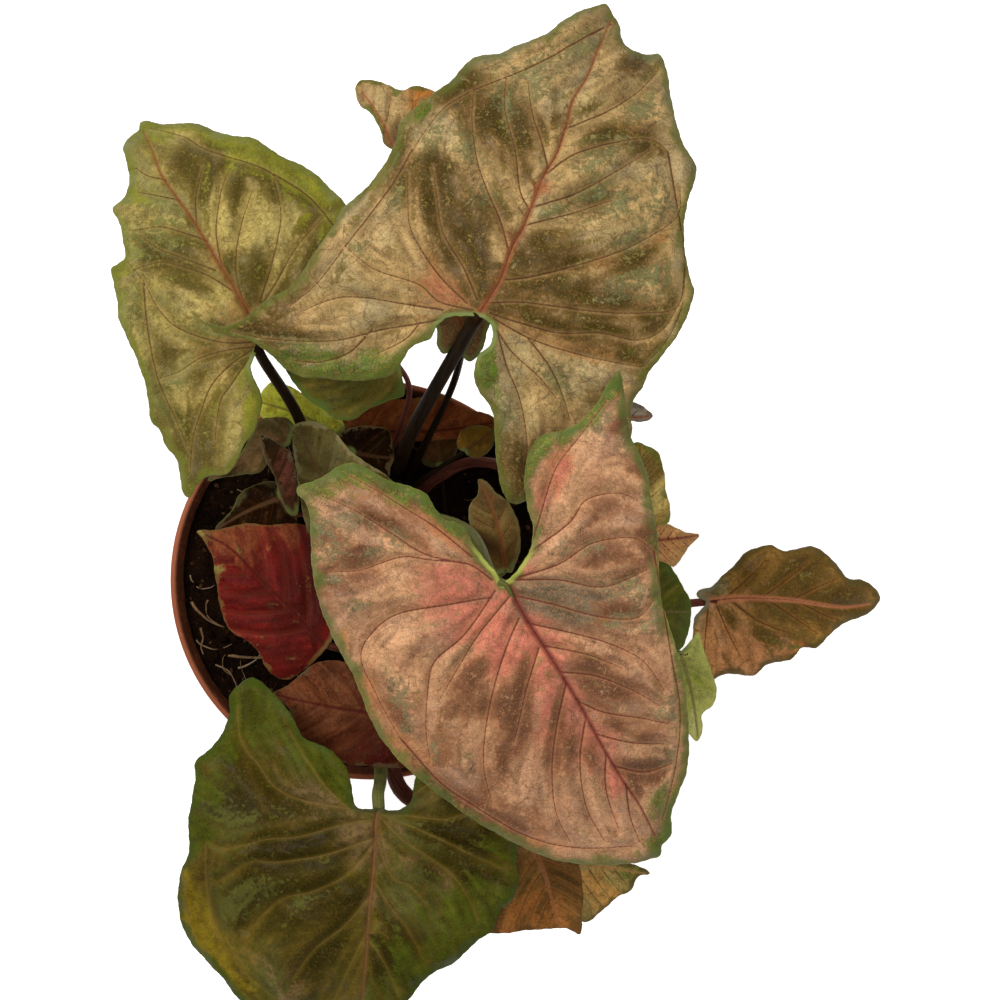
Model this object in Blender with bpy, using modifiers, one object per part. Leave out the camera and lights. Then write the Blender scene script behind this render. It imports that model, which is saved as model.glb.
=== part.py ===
"""Arrowhead plant in a round terracotta-coloured nursery pot.

Metres, +Z up.  The origin is the middle of the pot's base.  X runs to the right of the
photograph and Y runs to its top, because the photograph looks straight down on the plant.
Each leaf is one blade and one stalk.  The stalks spring from four short crowns that are
planted in the soil.
"""
import bpy
import math
from mathutils import Vector
from mathutils.geometry import delaunay_2d_cdt

MM = 0.001

# Pot and soil: the rim is the driving size.
RIM_RADIUS = 60 * MM
POT_HEIGHT = 105 * MM
BASE_RADIUS = 43 * MM
LIP_HEIGHT = 12 * MM
WALL = 2.2 * MM
FLOOR = 3 * MM
SOIL_DEPTH_BELOW_RIM = 5 * MM
SOIL_DOME = 1.5 * MM
TURN_STEPS = 48
GAP = 0.3 * MM
STALK_GAP = 0.6 * MM

# Crowns: short stems that are planted in the soil.
CROWN_RADIUS = 4.2 * MM
CROWN_RISE = 12 * MM
CROWN_DEPTH = 16 * MM
CROWN_STEPS = 16
CROWNS = {
    "back": (7 * MM, 26 * MM),
    "left": (-13 * MM, 23 * MM),
    "front": (5 * MM, -23 * MM),
    "right": (30 * MM, -11 * MM),
}

# Leaves: blade thickness, and the spacing of the blade's points on the photograph.
BLADE_THICKNESS = 0.5 * MM
BIG_LEAF_STEP_PX = 25
SMALL_LEAF_STEP_PX = 15
STALK_POINTS = 7

# The photograph's viewpoint over the plant.  A pixel's line of sight meets each blade's
# surface at the place that the pixel shows.
VIEW_X = 39 * MM
VIEW_Y = 24 * MM
VIEW_Z = 855 * MM
VIEW_SCALE_PX = 2500
VIEW_CENTRE_PX = 500


class Leaf:
    """One leaf: its margin in pixels of the photograph and its shape in millimetres.

    height is the blade's height where its stalk joins it, at the pixel notch, and fall is
    how much lower its tip is.  arch bows the midrib up, and fold, roll and cup tilt the
    sides, as slopes per leaf length.  wave ripples the margin.  crown, azimuth, start and
    radius say where the stalk springs from and how thick it is, and via holds the points
    (pixel x, pixel y, height) that it passes.
    """

    def __init__(self, name, colour, notch, tip, margin, height, fall=0, arch=0, fold=0,
                 roll=0, cup=0, wave=0, ripples=3, phase=0, crown="back", azimuth=0,
                 start=6, radius=1.0, via=()):
        self.name = name
        self.colour = colour
        self.notch = notch
        self.tip = tip
        self.margin = margin
        self.height = height * MM
        self.fall = fall * MM
        self.arch = arch * MM
        self.fold = fold
        self.roll = roll
        self.cup = cup
        self.wave = wave * MM
        self.ripples = ripples
        self.phase = phase
        self.crown = crown
        self.azimuth = math.radians(azimuth)
        self.start = start * MM
        self.radius = radius * MM
        self.via = via
        self.base = sight(notch, self.height)
        end = sight(tip, self.height - self.fall)
        self.length = (end - self.base).length
        self.along = (end - self.base).normalized()

    def surface(self, x, y):
        """Height of the blade's middle surface over the plan point (x, y)."""
        offset = Vector((x, y)) - self.base
        s = offset.dot(self.along) / self.length
        t = (self.along.x * offset.y - self.along.y * offset.x) / self.length
        bow = 4 * s * (1 - s) if s > 0 else 4 * s
        crease = math.sqrt(t * t + 0.0016) - 0.04
        z = self.height - self.fall * s + self.arch * bow
        z += self.length * (self.fold * crease + self.roll * t + self.cup * t * t)
        out = math.hypot(s - 0.35, t)
        turn = math.atan2(t, s - 0.35)
        z += self.wave * math.sin(self.ripples * turn + self.phase) * min(out, 0.8) ** 2 * 2.5
        return z

    def place(self, px):
        """The point of the blade's middle surface that the pixel px shows."""
        z = self.height
        for _ in range(12):
            flat = sight(px, z)
            z = self.surface(flat.x, flat.y)
        return Vector((flat.x, flat.y, z))


def sight(px, z):
    """Plan position, at the height z, of what the pixel px shows."""
    span = (VIEW_Z - z) / VIEW_SCALE_PX
    return Vector((VIEW_X + (px[0] - VIEW_CENTRE_PX) * span,
                   VIEW_Y - (px[1] - VIEW_CENTRE_PX) * span))


LEAVES = [
    # The large tan leaf at the top right, over everything but the pink leaf's lobe.
    Leaf("tan", (0.42, 0.30, 0.17), notch=(478, 317), tip=(606, 5), height=225, fall=30,
         arch=12, fold=-0.16, roll=-0.01, cup=-0.12, wave=3.0, ripples=6, phase=0.6,
         crown="back", azimuth=80, start=8, radius=2.1,
         margin=[(478, 317), (462, 316), (446, 318), (437, 326), (431, 338), (420, 343),
                 (409, 350), (402, 362), (394, 373), (378, 379), (350, 381), (320, 378),
                 (302, 377), (287, 370), (275, 359), (262, 348), (245, 339), (226, 335),
                 (213, 331), (210, 323), (224, 327), (238, 322), (250, 314), (262, 303),
                 (280, 293), (292, 285), (302, 272), (318, 247), (330, 230), (343, 208),
                 (362, 192), (376, 176), (388, 158), (396, 140), (400, 123), (412, 111),
                 (430, 96), (450, 81), (462, 68), (472, 58), (484, 55), (500, 53), (516, 45),
                 (535, 39), (552, 30), (565, 19), (580, 11), (594, 6), (606, 4), (613, 14),
                 (619, 25), (622, 39), (630, 49), (645, 54), (659, 54), (666, 67), (670, 90),
                 (674, 112), (681, 138), (691, 157), (697, 168), (693, 186), (687, 205),
                 (684, 230), (686, 258), (691, 280), (694, 293), (689, 311), (680, 331),
                 (666, 351), (650, 371), (642, 388), (634, 400), (631, 414), (632, 432),
                 (622, 448), (596, 462), (568, 476), (543, 490), (524, 502), (511, 503),
                 (503, 493), (498, 472), (495, 445), (494, 421), (489, 404), (479, 392),
                 (474, 374), (478, 356), (489, 346), (493, 334), (490, 324)]),
    # The large khaki leaf at the top left.
    Leaf("khaki", (0.40, 0.36, 0.15), notch=(259, 347), tip=(143, 124), height=200, fall=28,
         arch=8, fold=-0.12, roll=0.03, cup=-0.14, wave=3.0, ripples=7, phase=1.0,
         crown="left", azimuth=128, start=7, radius=1.6, via=((300, 421, 152),),
         margin=[(259, 349), (254, 358), (251, 368), (254, 379), (260, 390), (262, 404),
                 (258, 421), (252, 435), (243, 447), (237, 463), (226, 474), (207, 477),
                 (197, 486), (191, 497), (184, 494), (180, 478), (177, 461), (166, 446),
                 (160, 431), (151, 420), (148, 400), (145, 382), (136, 358), (128, 340),
                 (119, 319), (117, 300), (114, 284), (111, 270), (118, 264), (125, 256),
                 (122, 235), (118, 220), (112, 209), (117, 203), (125, 196), (129, 178),
                 (126, 160), (123, 147), (130, 136), (138, 130), (141, 122), (150, 121),
                 (163, 124), (182, 123), (202, 125), (218, 132), (238, 136), (256, 139),
                 (270, 149), (287, 159), (304, 166), (320, 178), (334, 192), (347, 206),
                 (354, 228), (352, 258), (341, 290), (322, 318), (296, 337), (272, 346)]),
    # The pink leaf in front: its lobe lies over the tan leaf.
    Leaf("pink", (0.52, 0.27, 0.20), notch=(503, 583), tip=(657, 858), height=216, fall=42,
         arch=7, fold=-0.06, roll=0.10, cup=-0.08, wave=2.0, ripples=5, phase=2.2,
         crown="back", azimuth=-62, start=7, radius=1.8, via=((466, 530, 178),),
         margin=[(503, 583), (495, 571), (484, 558), (474, 545), (466, 530), (455, 522),
                 (445, 520), (436, 509), (427, 495), (413, 487), (397, 483), (380, 476),
                 (364, 466), (351, 463), (338, 466), (326, 475), (310, 482), (299, 486),
                 (297, 494), (306, 503), (310, 520), (311, 545), (312, 570), (317, 594),
                 (325, 620), (337, 646), (352, 673), (361, 695), (371, 720), (382, 740),
                 (398, 759), (416, 776), (438, 794), (462, 812), (490, 830), (518, 845),
                 (545, 857), (572, 863), (600, 865), (628, 864), (648, 860), (660, 856),
                 (662, 846), (671, 835), (672, 812), (680, 790), (687, 770), (689, 742),
                 (687, 705), (682, 670), (672, 635), (662, 602), (659, 570), (658, 542),
                 (653, 508), (647, 474), (639, 453), (631, 436), (627, 412), (624, 388),
                 (619, 372), (612, 377), (600, 398), (588, 414), (570, 428), (548, 433),
                 (535, 441), (527, 458), (524, 480), (527, 505), (533, 528), (531, 546),
                 (523, 562), (512, 576)]),
    # The dark olive leaf at the bottom left: the photograph cuts off its tip.
    Leaf("olive", (0.19, 0.17, 0.06), notch=(379, 808), tip=(360, 1044), height=172, fall=22,
         arch=7, fold=-0.12, roll=0.0, cup=-0.12, wave=2.5, ripples=6, phase=0.2,
         crown="front", azimuth=-105, start=7, radius=2.0, via=((381, 772, 139),),
         margin=[(379, 808), (368, 809), (357, 807), (353, 797), (351, 780), (345, 765),
                 (333, 752), (317, 743), (303, 738), (295, 722), (285, 706), (272, 692),
                 (261, 681), (249, 678), (237, 686), (229, 698), (229, 714), (223, 731),
                 (213, 746), (196, 761), (195, 780), (191, 805), (188, 826), (189, 850),
                 (181, 872), (178, 892), (180, 917), (189, 940), (205, 960), (222, 977),
                 (240, 1000), (268, 1018), (305, 1032), (340, 1042), (360, 1048), (382, 1030),
                 (410, 998), (430, 975), (455, 962), (476, 942), (492, 930), (501, 909),
                 (514, 898), (519, 880), (516, 858), (521, 830), (524, 800), (518, 765),
                 (505, 738), (482, 724), (458, 728), (436, 744), (420, 764), (414, 785),
                 (411, 801), (401, 809), (390, 810)]),
    # Leaves round the outside.
    Leaf("brown", (0.24, 0.17, 0.07), notch=(706, 602), tip=(880, 598), height=150, fall=16,
         arch=5, fold=-0.24, roll=0.02, wave=3.0, ripples=5, phase=0.4,
         crown="right", azimuth=-12, start=6, radius=1.3,
         margin=[(706, 602), (697, 597), (699, 590), (712, 586), (724, 574), (737, 562),
                 (747, 551), (760, 547), (772, 545), (784, 551), (796, 549), (810, 546),
                 (824, 552), (836, 564), (848, 578), (862, 580), (873, 586), (880, 598),
                 (873, 610), (858, 618), (841, 625), (827, 637), (816, 648), (801, 648),
                 (790, 660), (768, 664), (755, 675), (740, 675), (724, 674), (711, 680),
                 (700, 668), (693, 645), (694, 620), (701, 609)]),
    Leaf("beige", (0.38, 0.27, 0.18), notch=(468, 338), tip=(356, 84), height=205, fall=12,
         arch=2, fold=-0.08, wave=1.5, ripples=5, phase=0.5,
         crown="back", azimuth=43, start=9, radius=1.0, via=((450, 392, 150),),
         margin=[(468, 338), (461, 343), (452, 351), (443, 354), (437, 344), (436, 328),
                 (424, 308), (404, 285), (392, 258), (385, 225), (386, 192), (392, 165),
                 (396, 152), (384, 144), (380, 129), (371, 114), (360, 105), (355, 90),
                 (360, 81), (374, 80), (388, 85), (402, 90), (416, 86), (432, 90), (455, 105),
                 (478, 138), (496, 180), (505, 225), (506, 268), (498, 305), (488, 330),
                 (482, 350), (472, 361), (463, 357), (462, 348)]),
    Leaf("green_back", (0.20, 0.22, 0.07), notch=(399, 357), tip=(300, 240), height=186,
         fall=4, arch=2, fold=-0.08, wave=1.0, ripples=4,
         crown="back", azimuth=137, start=8, radius=0.8, via=((409, 398, 158),),
         margin=[(399, 357), (402, 374), (404, 395), (388, 401), (368, 410), (352, 420),
                 (336, 419), (322, 409), (306, 398), (292, 380), (282, 362), (277, 335),
                 (278, 300), (287, 265), (300, 240), (330, 248), (362, 266), (392, 292),
                 (412, 320), (415, 342), (407, 350)]),
    Leaf("yellow_back", (0.42, 0.43, 0.10), notch=(338, 436), tip=(259, 402), height=124,
         fall=-4, arch=2, fold=-0.1,
         crown="left", azimuth=100, start=7, radius=0.8,
         margin=[(338, 436), (345, 428), (338, 416), (322, 406), (306, 397), (292, 387),
                 (276, 382), (265, 387), (258, 402), (262, 418), (280, 428), (305, 440),
                 (325, 445)]),
    Leaf("red_back", (0.28, 0.07, 0.04), notch=(345, 428), tip=(496, 422), height=114,
         fall=-6, arch=3, fold=-0.1, wave=1.0, ripples=4,
         crown="left", azimuth=66, start=6, radius=0.8,
         margin=[(345, 428), (330, 424), (318, 410), (326, 402), (350, 399), (380, 398),
                 (410, 399), (438, 394), (452, 401), (466, 410), (482, 412), (495, 419),
                 (493, 428), (476, 436), (440, 440), (400, 442), (365, 440), (350, 436)]),
    Leaf("dark_centre", (0.10, 0.05, 0.03), notch=(352, 452), tip=(394, 458), height=136,
         fall=-2, arch=2, fold=-0.1,
         crown="left", azimuth=34, start=8, radius=0.7,
         margin=[(352, 452), (342, 446), (338, 436), (350, 428), (370, 426), (386, 429),
                 (391, 436), (393, 448), (394, 458), (391, 467), (388, 480), (378, 484),
                 (364, 480), (350, 468), (347, 458)]),
    Leaf("olive_curl", (0.20, 0.20, 0.10), notch=(350, 520), tip=(297, 424), height=168,
         fall=-6, arch=3, fold=-0.15, wave=1.5, ripples=3,
         crown="left", azimuth=-48, start=7, radius=1.1,
         margin=[(350, 520), (334, 536), (316, 538), (306, 526), (301, 502), (298, 484),
                 (295, 462), (292, 440), (293, 428), (300, 422), (316, 422), (332, 430),
                 (344, 443), (354, 454), (372, 466), (392, 480), (402, 498), (398, 518),
                 (378, 534), (362, 530)]),
    Leaf("folded", (0.17, 0.11, 0.06), notch=(295, 516), tip=(260, 436), height=132,
         fall=-22, arch=-1, fold=0.5,
         crown="left", azimuth=-142, start=6, radius=0.7,
         margin=[(295, 516), (289, 514), (280, 498), (276, 480), (268, 465), (262, 448),
                 (260, 436), (270, 438), (282, 446), (291, 454), (295, 468), (297, 486),
                 (299, 502), (298, 514)]),
    Leaf("grey_pink", (0.28, 0.20, 0.16), notch=(292, 436), tip=(209, 480), height=143,
         fall=16, arch=2, fold=-0.1,
         crown="left", azimuth=164, start=6, radius=0.7,
         margin=[(292, 436), (295, 427), (288, 419), (274, 417), (260, 420), (252, 434),
                 (243, 450), (231, 465), (213, 474), (208, 481), (222, 478), (240, 475),
                 (258, 473), (270, 462), (282, 450), (290, 445)]),
    Leaf("dark_left", (0.12, 0.11, 0.05), notch=(284, 497), tip=(216, 530), height=122,
         fall=6, arch=2, fold=-0.1,
         crown="front", azimuth=120, start=6, radius=0.7,
         margin=[(284, 497), (276, 483), (263, 482), (248, 488), (238, 496), (232, 510),
                 (222, 520), (216, 530), (236, 538), (262, 542), (284, 540), (296, 524),
                 (297, 506), (290, 497)]),
    Leaf("red_left", (0.27, 0.05, 0.04), notch=(328, 646), tip=(197, 531), height=138,
         fall=12, arch=3, fold=-0.12, wave=1.5, ripples=4, phase=1.0,
         crown="front", azimuth=168, start=6, radius=1.2,
         margin=[(328, 646), (318, 658), (304, 670), (290, 679), (276, 677), (266, 667),
                 (260, 655), (248, 641), (234, 634), (224, 619), (219, 600), (215, 575),
                 (212, 556), (204, 541), (197, 531), (213, 530), (230, 527), (246, 523),
                 (264, 525), (284, 524), (304, 525), (318, 540), (328, 565), (335, 595),
                 (336, 622), (333, 638)]),
    Leaf("maroon", (0.22, 0.11, 0.08), notch=(404, 716), tip=(273, 694), height=150,
         fall=4, arch=3, fold=-0.12, wave=1.0, ripples=4,
         crown="front", azimuth=-150, start=7, radius=0.9,
         margin=[(404, 716), (412, 730), (414, 752), (404, 767), (386, 768), (366, 766),
                 (346, 764), (328, 753), (308, 742), (297, 728), (288, 708), (273, 694),
                 (290, 684), (304, 671), (322, 661), (344, 662), (368, 672), (390, 688),
                 (402, 704)]),
    Leaf("red_front", (0.24, 0.12, 0.06), notch=(532, 846), tip=(560, 932), height=148,
         fall=8, arch=2, fold=-0.25,
         crown="front", azimuth=-52, start=6, radius=2.4, via=((401, 790, 128),),
         margin=[(532, 846), (518, 838), (502, 848), (494, 872), (489, 905), (488, 931),
                 (505, 933), (530, 930), (550, 929), (566, 928), (580, 934), (582, 915),
                 (583, 890), (579, 866), (568, 844), (550, 834), (538, 838)]),
    Leaf("orange_front", (0.33, 0.26, 0.10), notch=(560, 862), tip=(648, 874), height=136,
         fall=8, arch=2, fold=-0.15,
         crown="front", azimuth=-10, start=6, radius=0.8,
         margin=[(560, 862), (572, 850), (590, 856), (612, 862), (634, 864), (650, 873),
                 (638, 877), (630, 891), (616, 898), (602, 911), (586, 922), (572, 914),
                 (560, 895), (552, 876)]),
    Leaf("green_right", (0.14, 0.20, 0.05), notch=(634, 610), tip=(691, 612), height=177,
         fall=12, arch=2, fold=-0.1,
         crown="right", azimuth=14, start=7, radius=0.8,
         margin=[(634, 610), (628, 594), (632, 568), (645, 546), (660, 546), (672, 568),
                 (684, 588), (691, 604), (690, 624), (682, 648), (664, 650), (642, 640),
                 (630, 624)]),
    Leaf("lime_right", (0.38, 0.42, 0.20), notch=(680, 652), tip=(698, 740), height=159,
         fall=12, arch=2, fold=-0.15,
         crown="right", azimuth=-44, start=6, radius=0.8,
         margin=[(680, 652), (688, 644), (698, 632), (703, 646), (709, 664), (716, 686),
                 (714, 704), (702, 714), (703, 728), (697, 741), (688, 732), (684, 712),
                 (674, 698), (662, 682), (660, 664), (668, 654)]),
    Leaf("pink_right", (0.45, 0.27, 0.18), notch=(640, 540), tip=(699, 535), height=186,
         fall=10, arch=2, fold=-0.15,
         crown="right", azimuth=36, start=8, radius=0.7,
         margin=[(640, 540), (636, 528), (645, 520), (660, 520), (674, 527), (686, 532),
                 (699, 535), (690, 546), (682, 557), (674, 567), (664, 562), (650, 558),
                 (638, 550)]),
    Leaf("yellow_right", (0.36, 0.32, 0.12), notch=(640, 516), tip=(640, 443), height=194,
         fall=4, arch=2, fold=-0.1, wave=1.0, ripples=4,
         crown="back", azimuth=-16, start=7, radius=1.5, via=((440, 476, 121), (491, 463, 136)),
         margin=[(640, 516), (628, 508), (624, 488), (626, 464), (634, 443), (648, 446),
                 (659, 454), (664, 472), (666, 490), (670, 508), (669, 522), (656, 524),
                 (648, 516)]),
    Leaf("dry_tip", (0.36, 0.33, 0.32), notch=(598, 414), tip=(653, 416), height=198,
         fall=4, arch=1, fold=-0.1,
         crown="right", azimuth=56, start=8, radius=0.6, via=((560, 520, 135),),
         margin=[(598, 414), (600, 404), (614, 400), (632, 402), (644, 407), (653, 416),
                 (642, 422), (626, 421), (610, 424), (600, 422)]),
    # Small leaves over the middle of the pot.
    Leaf("khaki_centre", (0.22, 0.19, 0.08), notch=(506, 572), tip=(479, 478), height=152,
         fall=-6, arch=2, fold=-0.1,
         crown="right", azimuth=98, start=7, radius=0.9,
         margin=[(506, 572), (496, 574), (486, 562), (477, 545), (470, 524), (469, 506),
                 (478, 494), (478, 479), (488, 483), (496, 492), (508, 502), (517, 518),
                 (521, 540), (518, 558), (512, 572)]),
    Leaf("brown_centre", (0.14, 0.09, 0.04), notch=(440, 466), tip=(436, 434), height=113,
         fall=-1, arch=1, fold=-0.1,
         crown="right", azimuth=146, start=6, radius=0.7,
         margin=[(440, 466), (430, 467), (422, 462), (419, 451), (424, 440), (434, 434),
                 (447, 434), (459, 437), (457, 450), (450, 463)]),
    Leaf("olive_centre", (0.20, 0.16, 0.06), notch=(464, 452), tip=(493, 430), height=146,
         fall=-4, arch=1, fold=-0.1,
         crown="back", azimuth=16, start=8, radius=0.7,
         margin=[(464, 452), (457, 446), (460, 432), (472, 426), (486, 426), (494, 434),
                 (492, 448), (480, 457), (470, 457)]),
]
BIG_LEAVES = ("tan", "khaki", "pink", "olive", "brown", "beige")

POT_COLOUR = (0.30, 0.10, 0.05)
SOIL_COLOUR = (0.012, 0.010, 0.008)
CROWN_COLOUR = (0.10, 0.06, 0.03)
STALK_COLOUR = (0.07, 0.04, 0.03)


def clear_scene():
    for thing in list(bpy.data.objects):
        bpy.data.objects.remove(thing, do_unlink=True)


def material(name, colour, roughness):
    mat = bpy.data.materials.new(name)
    mat.use_nodes = True
    shader = mat.node_tree.nodes["Principled BSDF"]
    shader.inputs["Base Color"].default_value = (*colour, 1)
    shader.inputs["Roughness"].default_value = roughness
    shader.inputs["Metallic"].default_value = 0
    return mat


def add_object(name, data, mat, collection):
    obj = bpy.data.objects.new(name, data)
    obj.data.materials.append(mat)
    collection.objects.link(obj)
    return obj


def turned(name, profile, steps, mat, collection):
    """A closed profile (radius, height) turned about +Z: it runs down its outer side."""
    mesh = bpy.data.meshes.new(name)
    edges = [(i, i + 1) for i in range(len(profile) - 1)]
    mesh.from_pydata([(r, 0, z) for r, z in profile], edges, [])
    obj = add_object(name, mesh, mat, collection)
    screw = obj.modifiers.new("turn", "SCREW")
    screw.axis = "Z"
    screw.angle = math.tau
    screw.steps = steps
    screw.render_steps = steps
    screw.use_merge_vertices = True
    screw.merge_threshold = 0.01 * MM
    screw.use_smooth_shade = True
    return obj


def smooth_loop(points, step):
    """Points a step apart along the smooth closed curve through the given points."""
    dense = []
    count = len(points)
    for i in range(count):
        p0, p1, p2, p3 = (Vector(points[(i + k - 1) % count]) for k in range(4))
        for k in range(8):
            u = k / 8
            dense.append(0.5 * (2 * p1 + (p2 - p0) * u
                                + (2 * p0 - 5 * p1 + 4 * p2 - p3) * u * u
                                + (3 * p1 - p0 - 3 * p2 + p3) * u * u * u))
    around = sum((dense[i] - dense[i - 1]).length for i in range(len(dense)))
    total = max(8, round(around / step))
    spacing = around / total
    loop = [dense[0]]
    run = 0.0
    for i in range(1, len(dense)):
        run += (dense[i] - dense[i - 1]).length
        if run >= spacing * len(loop) and len(loop) < total:
            loop.append(dense[i])
    return loop


def distance_to_loop(point, loop):
    best = 1e9
    for i in range(len(loop)):
        a = loop[i - 1]
        side = loop[i] - a
        u = max(0.0, min(1.0, (point - a).dot(side) / max(side.length_squared, 1e-9)))
        best = min(best, (point - a - side * u).length)
    return best


def inside(point, loop):
    hit = False
    for i in range(len(loop)):
        a = loop[i - 1]
        b = loop[i]
        if (a.y > point.y) != (b.y > point.y):
            if point.x < a.x + (point.y - a.y) * (b.x - a.x) / (b.y - a.y):
                hit = not hit
    return hit


def blade(leaf, collection):
    """The leaf's blade: its margin filled with triangles, lifted to its surface."""
    step = BIG_LEAF_STEP_PX if leaf.name in BIG_LEAVES else SMALL_LEAF_STEP_PX
    loop = smooth_loop(leaf.margin, step * 0.75)
    points = list(loop)
    rows = int(1200 / step)
    for row in range(rows):
        for column in range(rows):
            p = Vector((step * (column + 0.5 * (row % 2)), step * 0.87 * row))
            if inside(p, loop) and distance_to_loop(p, loop) > 0.5 * step:
                points.append(p)
    ring = [(i, (i + 1) % len(loop)) for i in range(len(loop))]
    verts, _, faces, _, _, _ = delaunay_2d_cdt(points, ring, [], 1, 1e-4)
    mesh = bpy.data.meshes.new("blade_" + leaf.name)
    # Pixels count downwards, so each face is turned over to look up.
    mesh.from_pydata([leaf.place(v) for v in verts], [], [f[::-1] for f in faces])
    mesh.shade_smooth()
    mat = material("blade_" + leaf.name, leaf.colour, 0.45)
    obj = add_object("blade_" + leaf.name, mesh, mat, collection)
    shell = obj.modifiers.new("thickness", "SOLIDIFY")
    shell.thickness = BLADE_THICKNESS
    shell.offset = 0
    return obj


def stalk_route(leaf, soil_top):
    """Points of the leaf stalk's centre line, from beside its crown up to the notch."""
    cx, cy = CROWNS[leaf.crown]
    base_radius = leaf.radius * 1.15
    reach = CROWN_RADIUS + GAP + base_radius
    foot = Vector((cx + reach * math.cos(leaf.azimuth), cy + reach * math.sin(leaf.azimuth),
                   soil_top - 2 * MM + leaf.start))
    seat = leaf.base + 0.5 * leaf.radius * leaf.along
    under = min(leaf.surface(seat.x + 0.8 * leaf.radius * math.cos(k),
                             seat.y + 0.8 * leaf.radius * math.sin(k)) for k in range(7))
    head = Vector((seat.x, seat.y, under - BLADE_THICKNESS / 2 - STALK_GAP))
    stops = [foot]
    stops += [Vector((*sight(p, p[2] * MM), p[2] * MM)) for p in leaf.via]
    rise = head.z - foot.z
    spread = Vector((head.x - foot.x, head.y - foot.y, 0))
    if not leaf.via:
        stops.append(foot + spread * 0.30 + Vector((0, 0, rise * 0.55)))
    neck = head - (spread.normalized() * 0.7 + Vector((0, 0, 0.7))) * 3 * leaf.radius
    stops += [neck, head]
    route = []
    for i in range(len(stops) - 1):
        p0 = stops[max(i - 1, 0)]
        p1 = stops[i]
        p2 = stops[i + 1]
        p3 = stops[min(i + 2, len(stops) - 1)]
        pieces = 1 if i == len(stops) - 2 else max(2, STALK_POINTS // (len(stops) - 1))
        for k in range(pieces):
            u = k / pieces
            route.append(0.5 * (2 * p1 + (p2 - p0) * u
                                + (2 * p0 - 5 * p1 + 4 * p2 - p3) * u * u
                                + (3 * p1 - p0 - 3 * p2 + p3) * u * u * u))
    lean = (head - route[-1]).normalized()
    head.z -= 0.75 * leaf.radius * math.hypot(lean.x, lean.y)
    return route + [head]


def stalk(leaf, soil_top, collection):
    route = stalk_route(leaf, soil_top)
    curve = bpy.data.curves.new("stalk_" + leaf.name, "CURVE")
    curve.dimensions = "3D"
    curve.bevel_depth = leaf.radius
    curve.bevel_resolution = 2
    curve.use_fill_caps = True
    spline = curve.splines.new("POLY")
    spline.points.add(len(route) - 1)
    for i, point in enumerate(route):
        spline.points[i].co = (*point, 1)
        spline.points[i].radius = 1.15 - 0.25 * i / (len(route) - 1)
    mat = material("stalk_" + leaf.name, STALK_COLOUR, 0.4)
    return add_object("stalk_" + leaf.name, curve, mat, collection)


def pot_inner_radius(z):
    """Inside radius of the pot at the height z."""
    low = BASE_RADIUS - WALL
    return low + (RIM_RADIUS - WALL - low) * z / POT_HEIGHT


def pot(collection):
    lip_bottom = POT_HEIGHT - LIP_HEIGHT
    wall_top = pot_inner_radius(lip_bottom) + WALL
    profile = [
        (0, FLOOR),
        (pot_inner_radius(FLOOR), FLOOR),
        (pot_inner_radius(POT_HEIGHT), POT_HEIGHT - 0.6 * MM),
        (RIM_RADIUS - WALL + 0.6 * MM, POT_HEIGHT),
        (RIM_RADIUS - 0.6 * MM, POT_HEIGHT),
        (RIM_RADIUS, POT_HEIGHT - 0.6 * MM),
        (RIM_RADIUS, lip_bottom),
        (wall_top, lip_bottom - 0.5 * MM),
        (BASE_RADIUS + 0.3 * MM, 1.2 * MM),
        (BASE_RADIUS - 0.9 * MM, 0),
        (0, 0),
    ]
    return turned("pot", profile, TURN_STEPS, material("pot", POT_COLOUR, 0.55), collection)


def crown_profile(soil_top, grow):
    """Half outline of a crown, or of its socket when grow is the gap round it."""
    r = CROWN_RADIUS + grow
    bottom = soil_top - CROWN_DEPTH - grow
    if grow:
        return [(0, soil_top + 20 * MM), (r, soil_top + 20 * MM), (r, bottom + 3 * MM),
                (r * 0.55, bottom), (0, bottom)]
    top = soil_top + CROWN_RISE
    return [(0, top), (r * 0.5, top - 0.8 * MM), (r * 0.85, top - 2.5 * MM),
            (r, top - 5 * MM), (r, bottom + 3 * MM), (r * 0.55, bottom), (0, bottom)]


def soil(soil_top, collection, cutters):
    edge = soil_top - SOIL_DOME
    profile = [
        (0, soil_top),
        (RIM_RADIUS * 0.5, soil_top - SOIL_DOME * 0.3),
        (pot_inner_radius(edge) - GAP - 3 * MM, edge + 0.3 * MM),
        (pot_inner_radius(edge) - GAP, edge - 0.7 * MM),
        (pot_inner_radius(FLOOR) - GAP, FLOOR + GAP),
        (0, FLOOR + GAP),
    ]
    body = turned("soil", profile, TURN_STEPS, material("soil", SOIL_COLOUR, 0.95), collection)
    cutter_mat = material("cutter", SOIL_COLOUR, 1)
    for name, (x, y) in CROWNS.items():
        socket = turned("socket_" + name, crown_profile(soil_top, GAP), CROWN_STEPS,
                        cutter_mat, cutters)
        socket.location = (x, y, 0)
        socket.display_type = "WIRE"
        socket.hide_render = True
        cut = body.modifiers.new("socket_" + name, "BOOLEAN")
        cut.operation = "DIFFERENCE"
        cut.solver = "EXACT"
        cut.object = socket
    return body


def main():
    clear_scene()
    plant = bpy.data.collections.new("arrowhead_plant")
    cutters = bpy.data.collections.new("cutters")
    bpy.context.scene.collection.children.link(plant)
    bpy.context.scene.collection.children.link(cutters)
    soil_top = POT_HEIGHT - SOIL_DEPTH_BELOW_RIM
    pot(plant)
    soil(soil_top, plant, cutters)
    for name, (x, y) in CROWNS.items():
        crown = turned("crown_" + name, crown_profile(soil_top, 0), CROWN_STEPS,
                       material("crown_" + name, CROWN_COLOUR, 0.6), plant)
        crown.location = (x, y, 0)
    for leaf in LEAVES:
        blade(leaf, plant)
        stalk(leaf, soil_top, plant)


main()
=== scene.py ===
import bpy
import math
import numpy as np
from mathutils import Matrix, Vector, noise
from mathutils.geometry import delaunay_2d_cdt
from mathutils.kdtree import KDTree


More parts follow.
